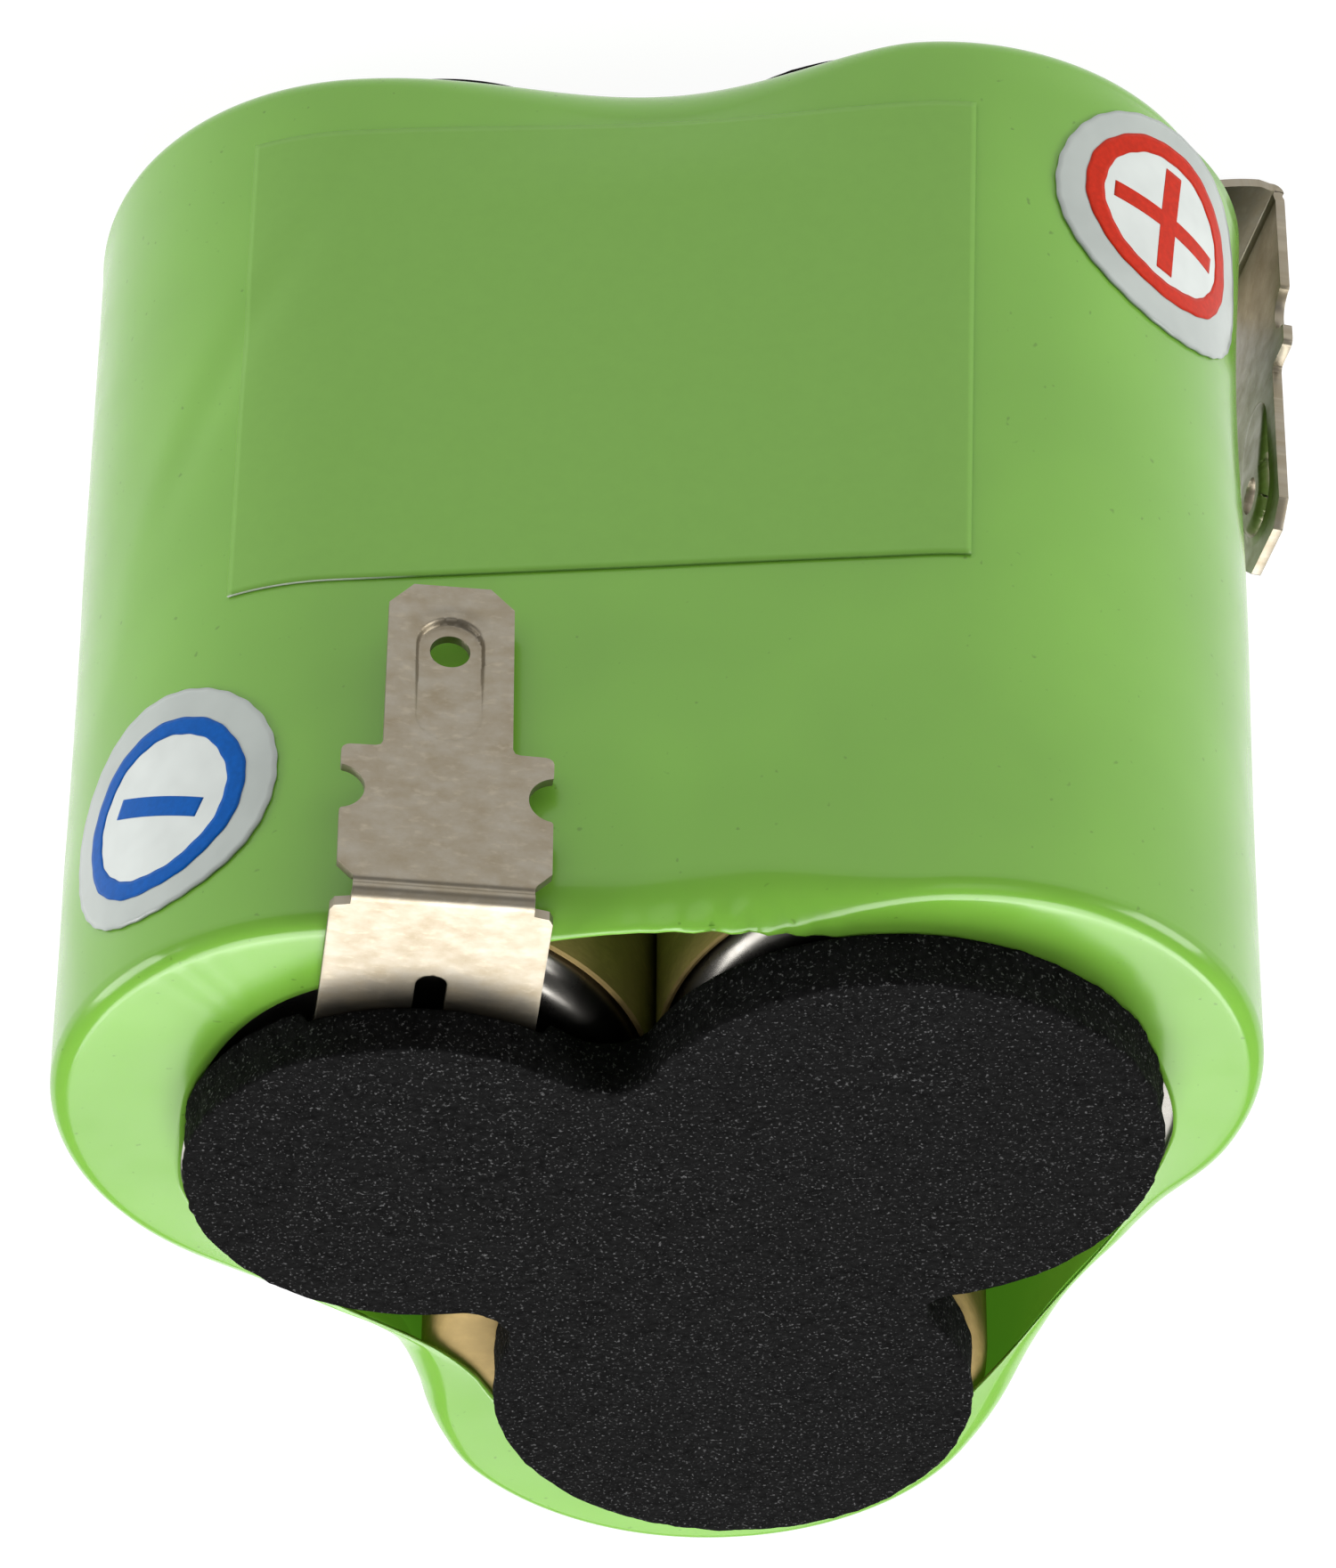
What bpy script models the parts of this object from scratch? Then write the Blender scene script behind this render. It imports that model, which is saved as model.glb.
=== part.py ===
"""Triangular battery pack of three sub-C cells in one shrink sleeve, as separate solids.

Metres, +Z up. The pack stands on its bottom foam pad, whose face is at z = 0. The cells run along +Z.
The flat front of the sleeve, with the label, faces -Y. Cell 1 is at +X, cell 2 at +Y and cell 3 at -X.
Cells 1 and 3 stand with the bottom of the can up, and cell 2 with its positive cap up.
In series: negative tab, cell 1, bottom link, cell 2, top link, cell 3, positive tab.
"""

from math import acos, atan2, cos, degrees, pi, radians, sin, sqrt

import bmesh
import bpy
from mathutils import Matrix, Vector

MM = 0.001

# Driving dimensions, in metres.
CELL_LENGTH = 42.5 * MM
CELL_PITCH = 22.6 * MM
PAPER_RADIUS = 11.25 * MM
PAPER_WALL = 0.25 * MM
CAN_RADIUS = 10.9 * MM
CAN_WALL = 0.3 * MM
SLEEVE_RADIUS = 11.65 * MM
SLEEVE_WALL = 0.2 * MM
PAD_THICKNESS = 2.4 * MM
PAD_LIFT = 0.4 * MM
TAB_THICKNESS = 0.4 * MM
LINK_THICKNESS = 0.2 * MM
TOUCH_GAP = 0.1 * MM

# Where the two ends of every cell are.
CELLS_BOTTOM = PAD_THICKNESS + PAD_LIFT
CELLS_TOP = CELLS_BOTTOM + CELL_LENGTH

# The cells' axes, in series order from the negative tab to the positive tab.
ROW_HEIGHT = CELL_PITCH * sqrt(3) / 2
CELL_CENTRES = (
    Vector((CELL_PITCH / 2, -ROW_HEIGHT / 3, 0)),
    Vector((0, 2 * ROW_HEIGHT / 3, 0)),
    Vector((-CELL_PITCH / 2, -ROW_HEIGHT / 3, 0)),
)
CAP_UP = (False, True, False)

# Segments of a full circle: the outer shells, the inner discs and one turn of the electrode roll.
SHELL_SEGMENTS = 24
DISC_SEGMENTS = 16
ROLL_SEGMENTS = 12

# Inside a cell, heights are measured from the outside of the can's bottom.
PAPER_SETBACK = 1.0 * MM
BEAD_HEIGHT = 38.4 * MM
CRIMP_HEIGHT = 41.8 * MM
CAP_RADIUS = 4.6 * MM
VENT_HOLE_RADIUS = 1.2 * MM
ROLL_BOTTOM = 1.6 * MM
ROLL_TOP = 35.8 * MM
ROLL_INNER_RADIUS = 2.0 * MM
ROLL_TURN_PITCH = 2.0 * MM
# How many steps round the roll each strip is long: the negative one makes the roll's outside.
NEGATIVE_STEPS = 46
SEPARATOR_STEPS = 44
POSITIVE_STEPS = 38

# The sleeve's lip: how far it is drawn in over a cell and between two cells.
LIP_OVER_CELL = 4.2 * MM
LIP_BETWEEN_CELLS = 2.2 * MM
# How deep the shrunk wall sinks between two cells, at the bottom and at the top of each flat side.
SINK_BOTTOM = (1.5 * MM, 1.3 * MM, 1.3 * MM)
SINK_TOP = (0.4 * MM, 1.9 * MM, 0.9 * MM)

# The die-cut foam trefoil.
LOBE_RADIUS = 9.3 * MM
LOBE_REACH = 10.7 * MM
NECK_REACH = 9.6 * MM
LOBE_STEPS = 14
PAD_CENTRE_TOP = Vector((-0.6 * MM, 0, 0))
PAD_TURN_TOP = 3.7
PAD_CENTRE_BOTTOM = Vector((-0.1 * MM, -0.1 * MM, 0))
PAD_TURN_BOTTOM = -4.0

# One stamped tab. Its strip lies on the end of a cell, and its blade hangs from the bend.
STRIP_HALF_WIDTH = 4.1 * MM
BEND_REACH = 14.0 * MM
STRIP_TAIL = 4.5 * MM
STRIP_LIFT = 0.45 * MM
BLADE_LENGTH = 14.7 * MM
BLADE_HALF_WIDTH = 3.95 * MM
BLADE_TIP_HALF_WIDTH = 2.4 * MM
BLADE_SHOULDER = 6.8 * MM
NOTCH_RADIUS = 1.0 * MM
NOTCH_FROM_BEND = 4.8 * MM
TIP_CHAMFER = 0.95 * MM
BEND_RELIEF_HALF_WIDTH = 3.35 * MM
BEND_RELIEF_START = 0.45 * MM
BEND_RELIEF_END = 0.75 * MM
BLADE_FULL_WIDTH_FROM_BEND = 1.3 * MM
BLADE_HOLE_RADIUS = 0.75 * MM
BLADE_HOLE_FROM_BEND = 11.85 * MM
POCKET_HALF_WIDTH = 1.3 * MM
POCKET_DEPTH = 0.15 * MM
NEGATIVE_TAB_HEADING = -102
NEGATIVE_TAB_OFFSET = 2.0 * MM
POSITIVE_TAB_HEADING = 160
POSITIVE_TAB_OFFSET = 0.2 * MM


def clear_scene():
    for obj in list(bpy.data.objects):
        bpy.data.objects.remove(obj)


def material(name, colour, roughness, metallic=0.0):
    made = bpy.data.materials.new(name)
    made.use_nodes = True
    shader = made.node_tree.nodes["Principled BSDF"]
    shader.inputs["Base Color"].default_value = (*colour, 1.0)
    shader.inputs["Roughness"].default_value = roughness
    shader.inputs["Metallic"].default_value = metallic
    return made


def make_materials():
    return {
        "sleeve_green": material("sleeve_green", (0.20, 0.48, 0.09), 0.25),
        "label_green": material("label_green", (0.17, 0.35, 0.07), 0.35),
        "sticker_white": material("sticker_white", (0.62, 0.66, 0.64), 0.25),
        "foam_black": material("foam_black", (0.012, 0.012, 0.013), 0.9),
        "nickel": material("nickel", (0.55, 0.50, 0.44), 0.38, 1.0),
        "can_steel": material("can_steel", (0.60, 0.59, 0.56), 0.28, 1.0),
        "kraft_paper": material("kraft_paper", (0.55, 0.38, 0.19), 0.7),
        "fibre_white": material("fibre_white", (0.80, 0.78, 0.72), 0.7),
        "seal_nylon": material("seal_nylon", (0.72, 0.72, 0.66), 0.45),
        "vent_rubber": material("vent_rubber", (0.03, 0.03, 0.03), 0.7),
        "separator_cloth": material("separator_cloth", (0.85, 0.85, 0.82), 0.8),
        "negative_alloy": material("negative_alloy", (0.18, 0.18, 0.19), 0.6, 0.5),
        "positive_nickel_oxide": material("positive_nickel_oxide", (0.12, 0.15, 0.12), 0.7, 0.2),
    }


def new_object(name, mesh, finish, matrix=None):
    mesh.materials.clear()
    mesh.materials.append(finish)
    obj = bpy.data.objects.new(name, mesh)
    bpy.context.scene.collection.objects.link(obj)
    if matrix is not None:
        obj.matrix_world = matrix
    return obj


def mesh_from(bm, name):
    """Closes a bmesh into a mesh with its faces pointing out, shaded smooth but for sharp edges."""
    bmesh.ops.recalc_face_normals(bm, faces=bm.faces)
    mesh = bpy.data.meshes.new(name)
    bm.to_mesh(mesh)
    bm.free()
    mesh.shade_smooth()
    mesh.set_sharp_from_angle(angle=radians(35))
    return mesh


def turned(name, outline, segments):
    """A solid turned about Z. The outline is (radius, height) points: a closed loop, or open from axis to axis."""
    bm = bmesh.new()
    points = [bm.verts.new((radius, 0, height)) for radius, height in outline]
    edges = [bm.edges.new(pair) for pair in zip(points, points[1:])]
    if outline[0][0] > 0:
        edges.append(bm.edges.new((points[-1], points[0])))
    bmesh.ops.spin(
        bm,
        geom=points + edges,
        cent=(0, 0, 0),
        axis=(0, 0, 1),
        angle=2 * pi,
        steps=segments,
        use_merge=True,
    )
    bmesh.ops.remove_doubles(bm, verts=bm.verts, dist=0.001 * MM)
    return mesh_from(bm, name)


def disc_with_hole(name, outer, inner, low, high, segments=DISC_SEGMENTS):
    return turned(name, [(inner, low), (outer, low), (outer, high), (inner, high)], segments)


def extruded(name, outline, low, high):
    """A prism on a flat outline of (x, y) points."""
    bm = bmesh.new()
    face = bm.faces.new([bm.verts.new((x, y, low)) for x, y in outline])
    raised = bmesh.ops.extrude_face_region(bm, geom=[face])["geom"]
    verts = [item for item in raised if isinstance(item, bmesh.types.BMVert)]
    bmesh.ops.translate(bm, verts=verts, vec=(0, 0, high - low))
    return mesh_from(bm, name)


def combined(mesh, cutters, operation="DIFFERENCE"):
    """The mesh after a Boolean with each cutter mesh in turn. The helpers used on the way are removed."""
    for cutter_mesh in cutters:
        body = bpy.data.objects.new("body", mesh)
        cutter = bpy.data.objects.new("cutter", cutter_mesh)
        for obj in (body, cutter):
            bpy.context.scene.collection.objects.link(obj)
        boolean = body.modifiers.new("combine", "BOOLEAN")
        boolean.operation = operation
        boolean.solver = "EXACT"
        boolean.object = cutter
        graph = bpy.context.evaluated_depsgraph_get()
        mesh = bpy.data.meshes.new_from_object(body.evaluated_get(graph))
        bpy.data.objects.remove(body)
        bpy.data.objects.remove(cutter)
    return mesh


def circle_points(centre, radius, start, end, steps):
    """Points on an arc between two angles in degrees, both ends included."""
    angles = [radians(start + (end - start) * step / steps) for step in range(steps + 1)]
    return [(centre[0] + radius * cos(a), centre[1] + radius * sin(a)) for a in angles]


# The sleeve and what is stuck on it


def sleeve_stations():
    """Points round the sleeve's outline as (point, outward normal, share over a cell, flat side, place on it).

    The outline is the hull of three circles. Each flat side is followed by the arc over the next cell.
    """
    stations = []
    for side in range(3):
        heading = -90 + 120 * side
        normal = Vector((cos(radians(heading)), sin(radians(heading)), 0))
        centre, before = CELL_CENTRES[side], CELL_CENTRES[side - 1]
        for step in range(4):
            place = step / 4
            point = before.lerp(centre, place) + normal * SLEEVE_RADIUS
            stations.append((point, normal, 0.0, side, place))
        for step in range(8):
            angle = radians(heading + 15 * step)
            outward = Vector((cos(angle), sin(angle), 0))
            over_cell = sin(pi * step / 8) ** 2
            stations.append((centre + outward * SLEEVE_RADIUS, outward, over_cell, side, 0.0))
    return stations


def sleeve_loop(bm, stations, inset, height, sinks):
    """One closed loop of the sleeve. An inset of None is the drawn-in lip."""
    loop = []
    for point, normal, over_cell, side, place in stations:
        lip = LIP_BETWEEN_CELLS + (LIP_OVER_CELL - LIP_BETWEEN_CELLS) * over_cell
        inward = (lip if inset is None else inset) + sinks[side] * sin(pi * place) ** 2
        at = point - normal * inward
        loop.append(bm.verts.new((at.x, at.y, height)))
    return loop


def sleeve_end(end, away, sinks):
    """(inset, height, sinks) of the loops of one end's outer skin, from the wall to the lip, then the inner skin."""
    none = (0, 0, 0)
    half = [sink / 2 for sink in sinks]
    outer = (
        (0, end - away * 7 * MM, none),
        (0, end - away * 3.5 * MM, half),
        (0, end - away * 1.0 * MM, sinks),
        (0.45 * MM, end - away * 0.05 * MM, sinks),
        (1.2 * MM, end + away * 0.35 * MM, sinks),
        (None, end + away * 0.3 * MM, sinks),
    )
    inner = (
        (None, end + away * 0.1 * MM, sinks),
        (1.2 * MM, end + away * 0.12 * MM, sinks),
        (0.62 * MM, end - away * 0.2 * MM, sinks),
        (SLEEVE_WALL, end - away * 1.0 * MM, sinks),
        (SLEEVE_WALL, end - away * 3.5 * MM, half),
        (SLEEVE_WALL, end - away * 7 * MM, none),
    )
    return outer + inner


def make_sleeve(finish):
    bm = bmesh.new()
    stations = sleeve_stations()
    rows = sleeve_end(CELLS_TOP, 1, SINK_TOP)
    rows += tuple(reversed(sleeve_end(CELLS_BOTTOM, -1, SINK_BOTTOM)))
    loops = [sleeve_loop(bm, stations, *row) for row in rows]
    for loop, following in zip(loops, loops[1:] + loops[:1]):
        for here, there in zip(range(len(loop)), list(range(1, len(loop))) + [0]):
            bm.faces.new((loop[here], loop[there], following[there], following[here]))
    new_object("shrink_sleeve", mesh_from(bm, "shrink_sleeve"), finish)


def on_sleeve(along):
    """(point, outward normal) on the sleeve's wall, at a distance from the middle of its front, towards +X."""
    arc = SLEEVE_RADIUS * 2 * pi / 3
    distance = (along + CELL_PITCH / 2) % (3 * (CELL_PITCH + arc))
    side = int(distance // (CELL_PITCH + arc))
    distance -= side * (CELL_PITCH + arc)
    turn = max(0.0, distance - CELL_PITCH) / SLEEVE_RADIUS
    angle = radians(-90 + 120 * side) + turn
    normal = Vector((cos(angle), sin(angle), 0))
    place = min(distance, CELL_PITCH) / CELL_PITCH
    centre = CELL_CENTRES[side - 1].lerp(CELL_CENTRES[side], place)
    return centre + normal * SLEEVE_RADIUS, normal


def make_wrapped_patch(name, finish, middle, height, half_width, half_heights, thickness):
    """A thin sheet stuck on the sleeve. half_heights holds its half height at even steps from end to end."""
    bm = bmesh.new()
    columns = []
    steps = len(half_heights) - 1
    for step, half_height in enumerate(half_heights):
        point, normal = on_sleeve(middle + half_width * (2 * step / steps - 1))
        near, far = point + normal * TOUCH_GAP, point + normal * (TOUCH_GAP + thickness)
        corners = []
        for side in (near, far):
            for level in (height - half_height, height + half_height):
                corners.append(bm.verts.new((side.x, side.y, level)))
        columns.append(corners)
    for left, right in zip(columns, columns[1:]):
        for a, b in ((0, 1), (1, 3), (3, 2), (2, 0)):
            bm.faces.new((left[a], left[b], right[b], right[a]))
    for near_low, near_high, far_low, far_high in (columns[0], columns[-1]):
        bm.faces.new((near_low, near_high, far_high, far_low))
    new_object(name, mesh_from(bm, name), finish)


def make_label(finish):
    half_height = 11.0 * MM
    make_wrapped_patch("label", finish, 1.1 * MM, 18.8 * MM, 14.5 * MM, [half_height] * 13, 0.1 * MM)


def make_sticker(name, finish, cell_angle, height, radius):
    """A round sticker over cell 1 or 3. cell_angle is measured on from the front flat, in degrees."""
    side = 1 if cell_angle > 0 else -1
    middle = side * CELL_PITCH / 2 + radians(cell_angle) * SLEEVE_RADIUS
    steps = 10
    end_share = 0.985
    shares = [end_share * (2 * step / steps - 1) for step in range(steps + 1)]
    half_heights = [radius * sqrt(1 - share**2) for share in shares]
    make_wrapped_patch(name, finish, middle, height, radius * end_share, half_heights, 0.1 * MM)


# The foam pads


def polar(reach, heading):
    return Vector((cos(heading), sin(heading), 0)) * reach


def trefoil(centre, turn):
    """The die-cut outline: three arcs joined by their tangents, which meet at three necks."""
    neck_x = NECK_REACH / 2 - LOBE_REACH
    neck_y = NECK_REACH * sin(pi / 3)
    neck_distance = sqrt(neck_x**2 + neck_y**2)
    half_arc = degrees(atan2(neck_y, neck_x) - acos(LOBE_RADIUS / neck_distance))
    points = []
    for lobe in range(3):
        heading = turn - 30 + 120 * lobe
        neck = centre + polar(NECK_REACH, radians(heading - 60))
        middle = centre + polar(LOBE_REACH, radians(heading))
        points.append((neck.x, neck.y))
        points.extend(
            circle_points(middle, LOBE_RADIUS, heading - half_arc, heading + half_arc, LOBE_STEPS)
        )
    return points


def strip_channel(low, high, cell, heading, offset):
    """The box that a tab's strip needs in the foam, with room round it."""
    room = 0.3 * MM
    across = STRIP_HALF_WIDTH + room
    tail, reach = STRIP_TAIL + room, BEND_REACH
    corners = [(-across, -tail), (across, -tail), (across, reach), (-across, reach)]
    mesh = extruded("channel", corners, low, high)
    mesh.transform(tab_matrix(cell, heading, offset, 0.0, False))
    return mesh


def make_pads(finish):
    face_height = CELLS_TOP + PAD_LIFT + PAD_THICKNESS
    channel_depth = STRIP_LIFT + TAB_THICKNESS + TOUCH_GAP
    top = extruded(
        "top_foam_pad", trefoil(PAD_CENTRE_TOP, PAD_TURN_TOP), CELLS_TOP + PAD_LIFT, face_height
    )
    top_channel = strip_channel(
        CELLS_TOP, CELLS_TOP + channel_depth, 0, NEGATIVE_TAB_HEADING, NEGATIVE_TAB_OFFSET
    )
    new_object("top_foam_pad", combined(top, [top_channel]), finish)
    bottom = extruded(
        "bottom_foam_pad", trefoil(PAD_CENTRE_BOTTOM, PAD_TURN_BOTTOM), 0, PAD_THICKNESS
    )
    bottom_channel = strip_channel(
        CELLS_BOTTOM - channel_depth, CELLS_BOTTOM, 2, POSITIVE_TAB_HEADING, POSITIVE_TAB_OFFSET
    )
    new_object("bottom_foam_pad", combined(bottom, [bottom_channel]), finish)


# The stamped tabs and the links


def tab_matrix(cell, heading, offset, height, flipped):
    """Places a tab: local X runs across it, local Y away from its cell, local Z out of its end of the pack."""
    away = polar(1, radians(heading))
    across = Vector((away.y, -away.x, 0))
    up = Vector((0, 0, 1))
    centre = CELL_CENTRES[cell] + across * offset + up * height
    if flipped:
        across, up = -across, -up
    axes = Matrix((across, away, up)).transposed()
    return Matrix.Translation(centre) @ axes.to_4x4()


def tab_section():
    """The side view of the bent strip as (y, z) points: its tail, the joggle over the lip, the bend and the blade."""
    low, high = TOUCH_GAP, STRIP_LIFT
    joggle_start, joggle_end = 4.8 * MM, 5.8 * MM
    outer_bend = 0.9 * MM
    inner_bend = outer_bend - TAB_THICKNESS
    inside = BEND_REACH - TAB_THICKNESS
    tip = high + TAB_THICKNESS - BLADE_LENGTH
    bend_centre = (BEND_REACH - outer_bend, high + TAB_THICKNESS - outer_bend)
    under = [(-STRIP_TAIL, low), (joggle_start, low), (joggle_end, high)]
    under += circle_points(bend_centre, inner_bend, 90, 0, 4)
    over = circle_points(bend_centre, outer_bend, 0, 90, 5)
    over += [(joggle_end, high + TAB_THICKNESS), (joggle_start, low + TAB_THICKNESS)]
    return under + [(inside, tip), (BEND_REACH, tip)] + over + [(-STRIP_TAIL, low + TAB_THICKNESS)]


def blade_side_cutter(side):
    """What the press cuts away on one side of the blade, as a flat outline in (across, distance from the bend)."""
    beyond = STRIP_HALF_WIDTH + 1 * MM
    notch = circle_points((BLADE_HALF_WIDTH + 0.1 * MM, NOTCH_FROM_BEND), NOTCH_RADIUS, 270, 90, 8)
    outline = [
        (beyond, BEND_RELIEF_START),
        (BEND_RELIEF_HALF_WIDTH, BEND_RELIEF_START),
        (BEND_RELIEF_HALF_WIDTH, BEND_RELIEF_END),
        (BLADE_HALF_WIDTH, BLADE_FULL_WIDTH_FROM_BEND),
        (BLADE_HALF_WIDTH, NOTCH_FROM_BEND - NOTCH_RADIUS),
    ]
    outline += notch
    outline += [
        (BLADE_HALF_WIDTH, NOTCH_FROM_BEND + NOTCH_RADIUS),
        (BLADE_HALF_WIDTH, BLADE_SHOULDER),
        (BLADE_TIP_HALF_WIDTH, BLADE_SHOULDER),
        (BLADE_TIP_HALF_WIDTH, BLADE_LENGTH - TIP_CHAMFER),
        (BLADE_TIP_HALF_WIDTH - TIP_CHAMFER, BLADE_LENGTH),
        (BLADE_TIP_HALF_WIDTH - TIP_CHAMFER, BLADE_LENGTH + 1 * MM),
        (beyond, BLADE_LENGTH + 1 * MM),
    ]
    flat = [(side * across, -down) for across, down in outline]
    return across_blade(extruded("side_cutter", flat, BEND_REACH - 1 * MM, BEND_REACH + 1 * MM))


def across_blade(mesh):
    """Turns a prism that stands along Z so that it runs through the blade, along Y, below the strip's top."""
    top = STRIP_LIFT + TAB_THICKNESS
    mesh.transform(Matrix(((1, 0, 0, 0), (0, 0, 1, 0), (0, 1, 0, top), (0, 0, 0, 1))))
    mesh.flip_normals()
    return mesh


def pocket_outline(half_width):
    """The oval pressed round the blade's hole."""
    high, low = BLADE_HOLE_FROM_BEND + 0.2 * MM, BLADE_HOLE_FROM_BEND - 3.2 * MM
    points = circle_points((0, -high), half_width, 180, 360, 8)
    return points + circle_points((0, -low), half_width, 0, 180, 8)


def make_tab_mesh():
    """The stamped tab: bent strip, cut blade, pressed pocket with its hole, and the slit between the weld feet."""
    bm = bmesh.new()
    section = [bm.verts.new((-STRIP_HALF_WIDTH, y, z)) for y, z in tab_section()]
    raised = bmesh.ops.extrude_face_region(bm, geom=[bm.faces.new(section)])["geom"]
    verts = [item for item in raised if isinstance(item, bmesh.types.BMVert)]
    bmesh.ops.translate(bm, verts=verts, vec=(2 * STRIP_HALF_WIDTH, 0, 0))
    blank = mesh_from(bm, "tab_blank")
    boss = across_blade(
        extruded(
            "boss",
            pocket_outline(POCKET_HALF_WIDTH),
            BEND_REACH - TAB_THICKNESS - POCKET_DEPTH,
            BEND_REACH - TAB_THICKNESS / 2,
        )
    )
    pocket = across_blade(
        extruded(
            "pocket",
            pocket_outline(POCKET_HALF_WIDTH - 0.15 * MM),
            BEND_REACH - POCKET_DEPTH,
            BEND_REACH + 1 * MM,
        )
    )
    hole = circle_points((0, -BLADE_HOLE_FROM_BEND), BLADE_HOLE_RADIUS, 0, 337.5, 15)
    hole_cutter = across_blade(extruded("hole", hole, BEND_REACH - 2 * MM, BEND_REACH + 1 * MM))
    slit_half_width = 0.6 * MM
    slit_end = BEND_REACH - 4.6 * MM - slit_half_width
    slit = circle_points((0, slit_end), slit_half_width, 0, 180, 6)
    slit += [(-slit_half_width, -STRIP_TAIL - 1 * MM), (slit_half_width, -STRIP_TAIL - 1 * MM)]
    slit_cutter = extruded("slit", slit, -1 * MM, 2 * MM)
    blank = combined(blank, [boss], "UNION")
    cutters = [blade_side_cutter(1), blade_side_cutter(-1), pocket, hole_cutter, slit_cutter]
    return combined(blank, cutters)


def make_tabs(finish):
    mesh = make_tab_mesh()
    new_object(
        "negative_tab",
        mesh,
        finish,
        tab_matrix(0, NEGATIVE_TAB_HEADING, NEGATIVE_TAB_OFFSET, CELLS_TOP, False),
    )
    new_object(
        "positive_tab",
        mesh,
        finish,
        tab_matrix(2, POSITIVE_TAB_HEADING, POSITIVE_TAB_OFFSET, CELLS_BOTTOM, True),
    )


def make_link(name, finish, from_cell, to_cell, low):
    """A flat nickel strip with round ends, welded across two cells."""
    start, end = CELL_CENTRES[from_cell], CELL_CENTRES[to_cell]
    along = end - start
    heading = degrees(atan2(along.y, along.x))
    half_width = 3.5 * MM
    outline = circle_points(end, half_width, heading - 90, heading + 90, 6)
    outline += circle_points(start, half_width, heading + 90, heading + 270, 6)
    new_object(name, extruded(name, outline, low, low + LINK_THICKNESS), finish)


def make_links(finish):
    make_link("top_link", finish, 1, 2, CELLS_TOP + TOUCH_GAP)
    make_link("bottom_link", finish, 0, 1, CELLS_BOTTOM - TOUCH_GAP - LINK_THICKNESS)


# The cells: outlines are (radius, height), with height measured from the outside of the can's bottom


def can_outline():
    """The drawn steel can: round bottom edge, rolled bead below the seal and the rim crimped over it."""
    bottom_round = 1.2 * MM
    inner_round = bottom_round - CAN_WALL
    bead_radius = CAN_RADIUS - 0.9 * MM
    bead_half_height = 0.9 * MM
    crimp_radius = 9.3 * MM
    outer = [(0, 0)]
    outer += circle_points((CAN_RADIUS - bottom_round, bottom_round), bottom_round, -90, 0, 3)
    outer += [
        (CAN_RADIUS, BEAD_HEIGHT - bead_half_height),
        (bead_radius, BEAD_HEIGHT),
        (CAN_RADIUS, BEAD_HEIGHT + bead_half_height),
        (CAN_RADIUS, CRIMP_HEIGHT - 0.6 * MM),
        (CAN_RADIUS - 0.6 * MM, CRIMP_HEIGHT),
        (crimp_radius, CRIMP_HEIGHT),
    ]
    inner_radius = CAN_RADIUS - CAN_WALL
    inner = [
        (crimp_radius, CRIMP_HEIGHT - CAN_WALL),
        (CAN_RADIUS - 0.7 * MM, CRIMP_HEIGHT - CAN_WALL),
        (inner_radius, CRIMP_HEIGHT - 0.7 * MM),
        (inner_radius, BEAD_HEIGHT + bead_half_height),
        (bead_radius - CAN_WALL, BEAD_HEIGHT),
        (inner_radius, BEAD_HEIGHT - bead_half_height),
    ]
    inner += circle_points((CAN_RADIUS - bottom_round, bottom_round), inner_round, 0, -90, 2)
    return outer + inner + [(0, CAN_WALL)]


def gasket_outline():
    """The nylon seal: a channel that holds the lid's edge inside the crimp."""
    outer, throat = 10.2 * MM, 9.4 * MM
    low, high = 39.5 * MM, 41.3 * MM
    wall = 0.4 * MM
    return [
        (throat - 1.4 * MM, low),
        (outer, low),
        (outer, high),
        (throat, high),
        (throat, high - wall),
        (outer - wall, high - wall),
        (outer - wall, low + wall),
        (throat - 1.4 * MM, low + wall),
    ]


def cap_outline():
    """The pressed positive button, open below, with the flange that is welded to the lid."""
    wall = 0.3 * MM
    flange = 6.6 * MM
    flange_low = 40.8 * MM
    inner = CAP_RADIUS - wall
    edge = 0.5 * MM
    return [
        (0, CELL_LENGTH - wall),
        (inner - 0.3 * MM, CELL_LENGTH - wall),
        (inner, CELL_LENGTH - wall - 0.3 * MM),
        (inner, flange_low),
        (flange, flange_low),
        (flange, flange_low + wall),
        (CAP_RADIUS, flange_low + wall),
        (CAP_RADIUS, CELL_LENGTH - edge),
        (CAP_RADIUS - edge, CELL_LENGTH),
        (0, CELL_LENGTH),
    ]


def rolled_sheet(name, start, thickness, steps, overhang):
    """One wound strip of the electrode roll. Its distance from the axis grows evenly with the angle."""
    low, high = ROLL_BOTTOM - overhang, ROLL_TOP + overhang
    bm = bmesh.new()
    columns = []
    for step in range(steps + 1):
        turn = step / ROLL_SEGMENTS
        near = ROLL_INNER_RADIUS + start + ROLL_TURN_PITCH * turn
        far = near + thickness
        corners = ((near, low), (far, low), (far, high), (near, high))
        ray = polar(1, 2 * pi * turn)
        columns.append(
            [bm.verts.new((ray.x * reach, ray.y * reach, level)) for reach, level in corners]
        )
    for here, following in zip(columns, columns[1:]):
        for a, b in ((0, 1), (1, 2), (2, 3), (3, 0)):
            bm.faces.new((here[a], here[b], following[b], following[a]))
    bm.faces.new(columns[0])
    bm.faces.new(columns[-1])
    return mesh_from(bm, name)


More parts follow.
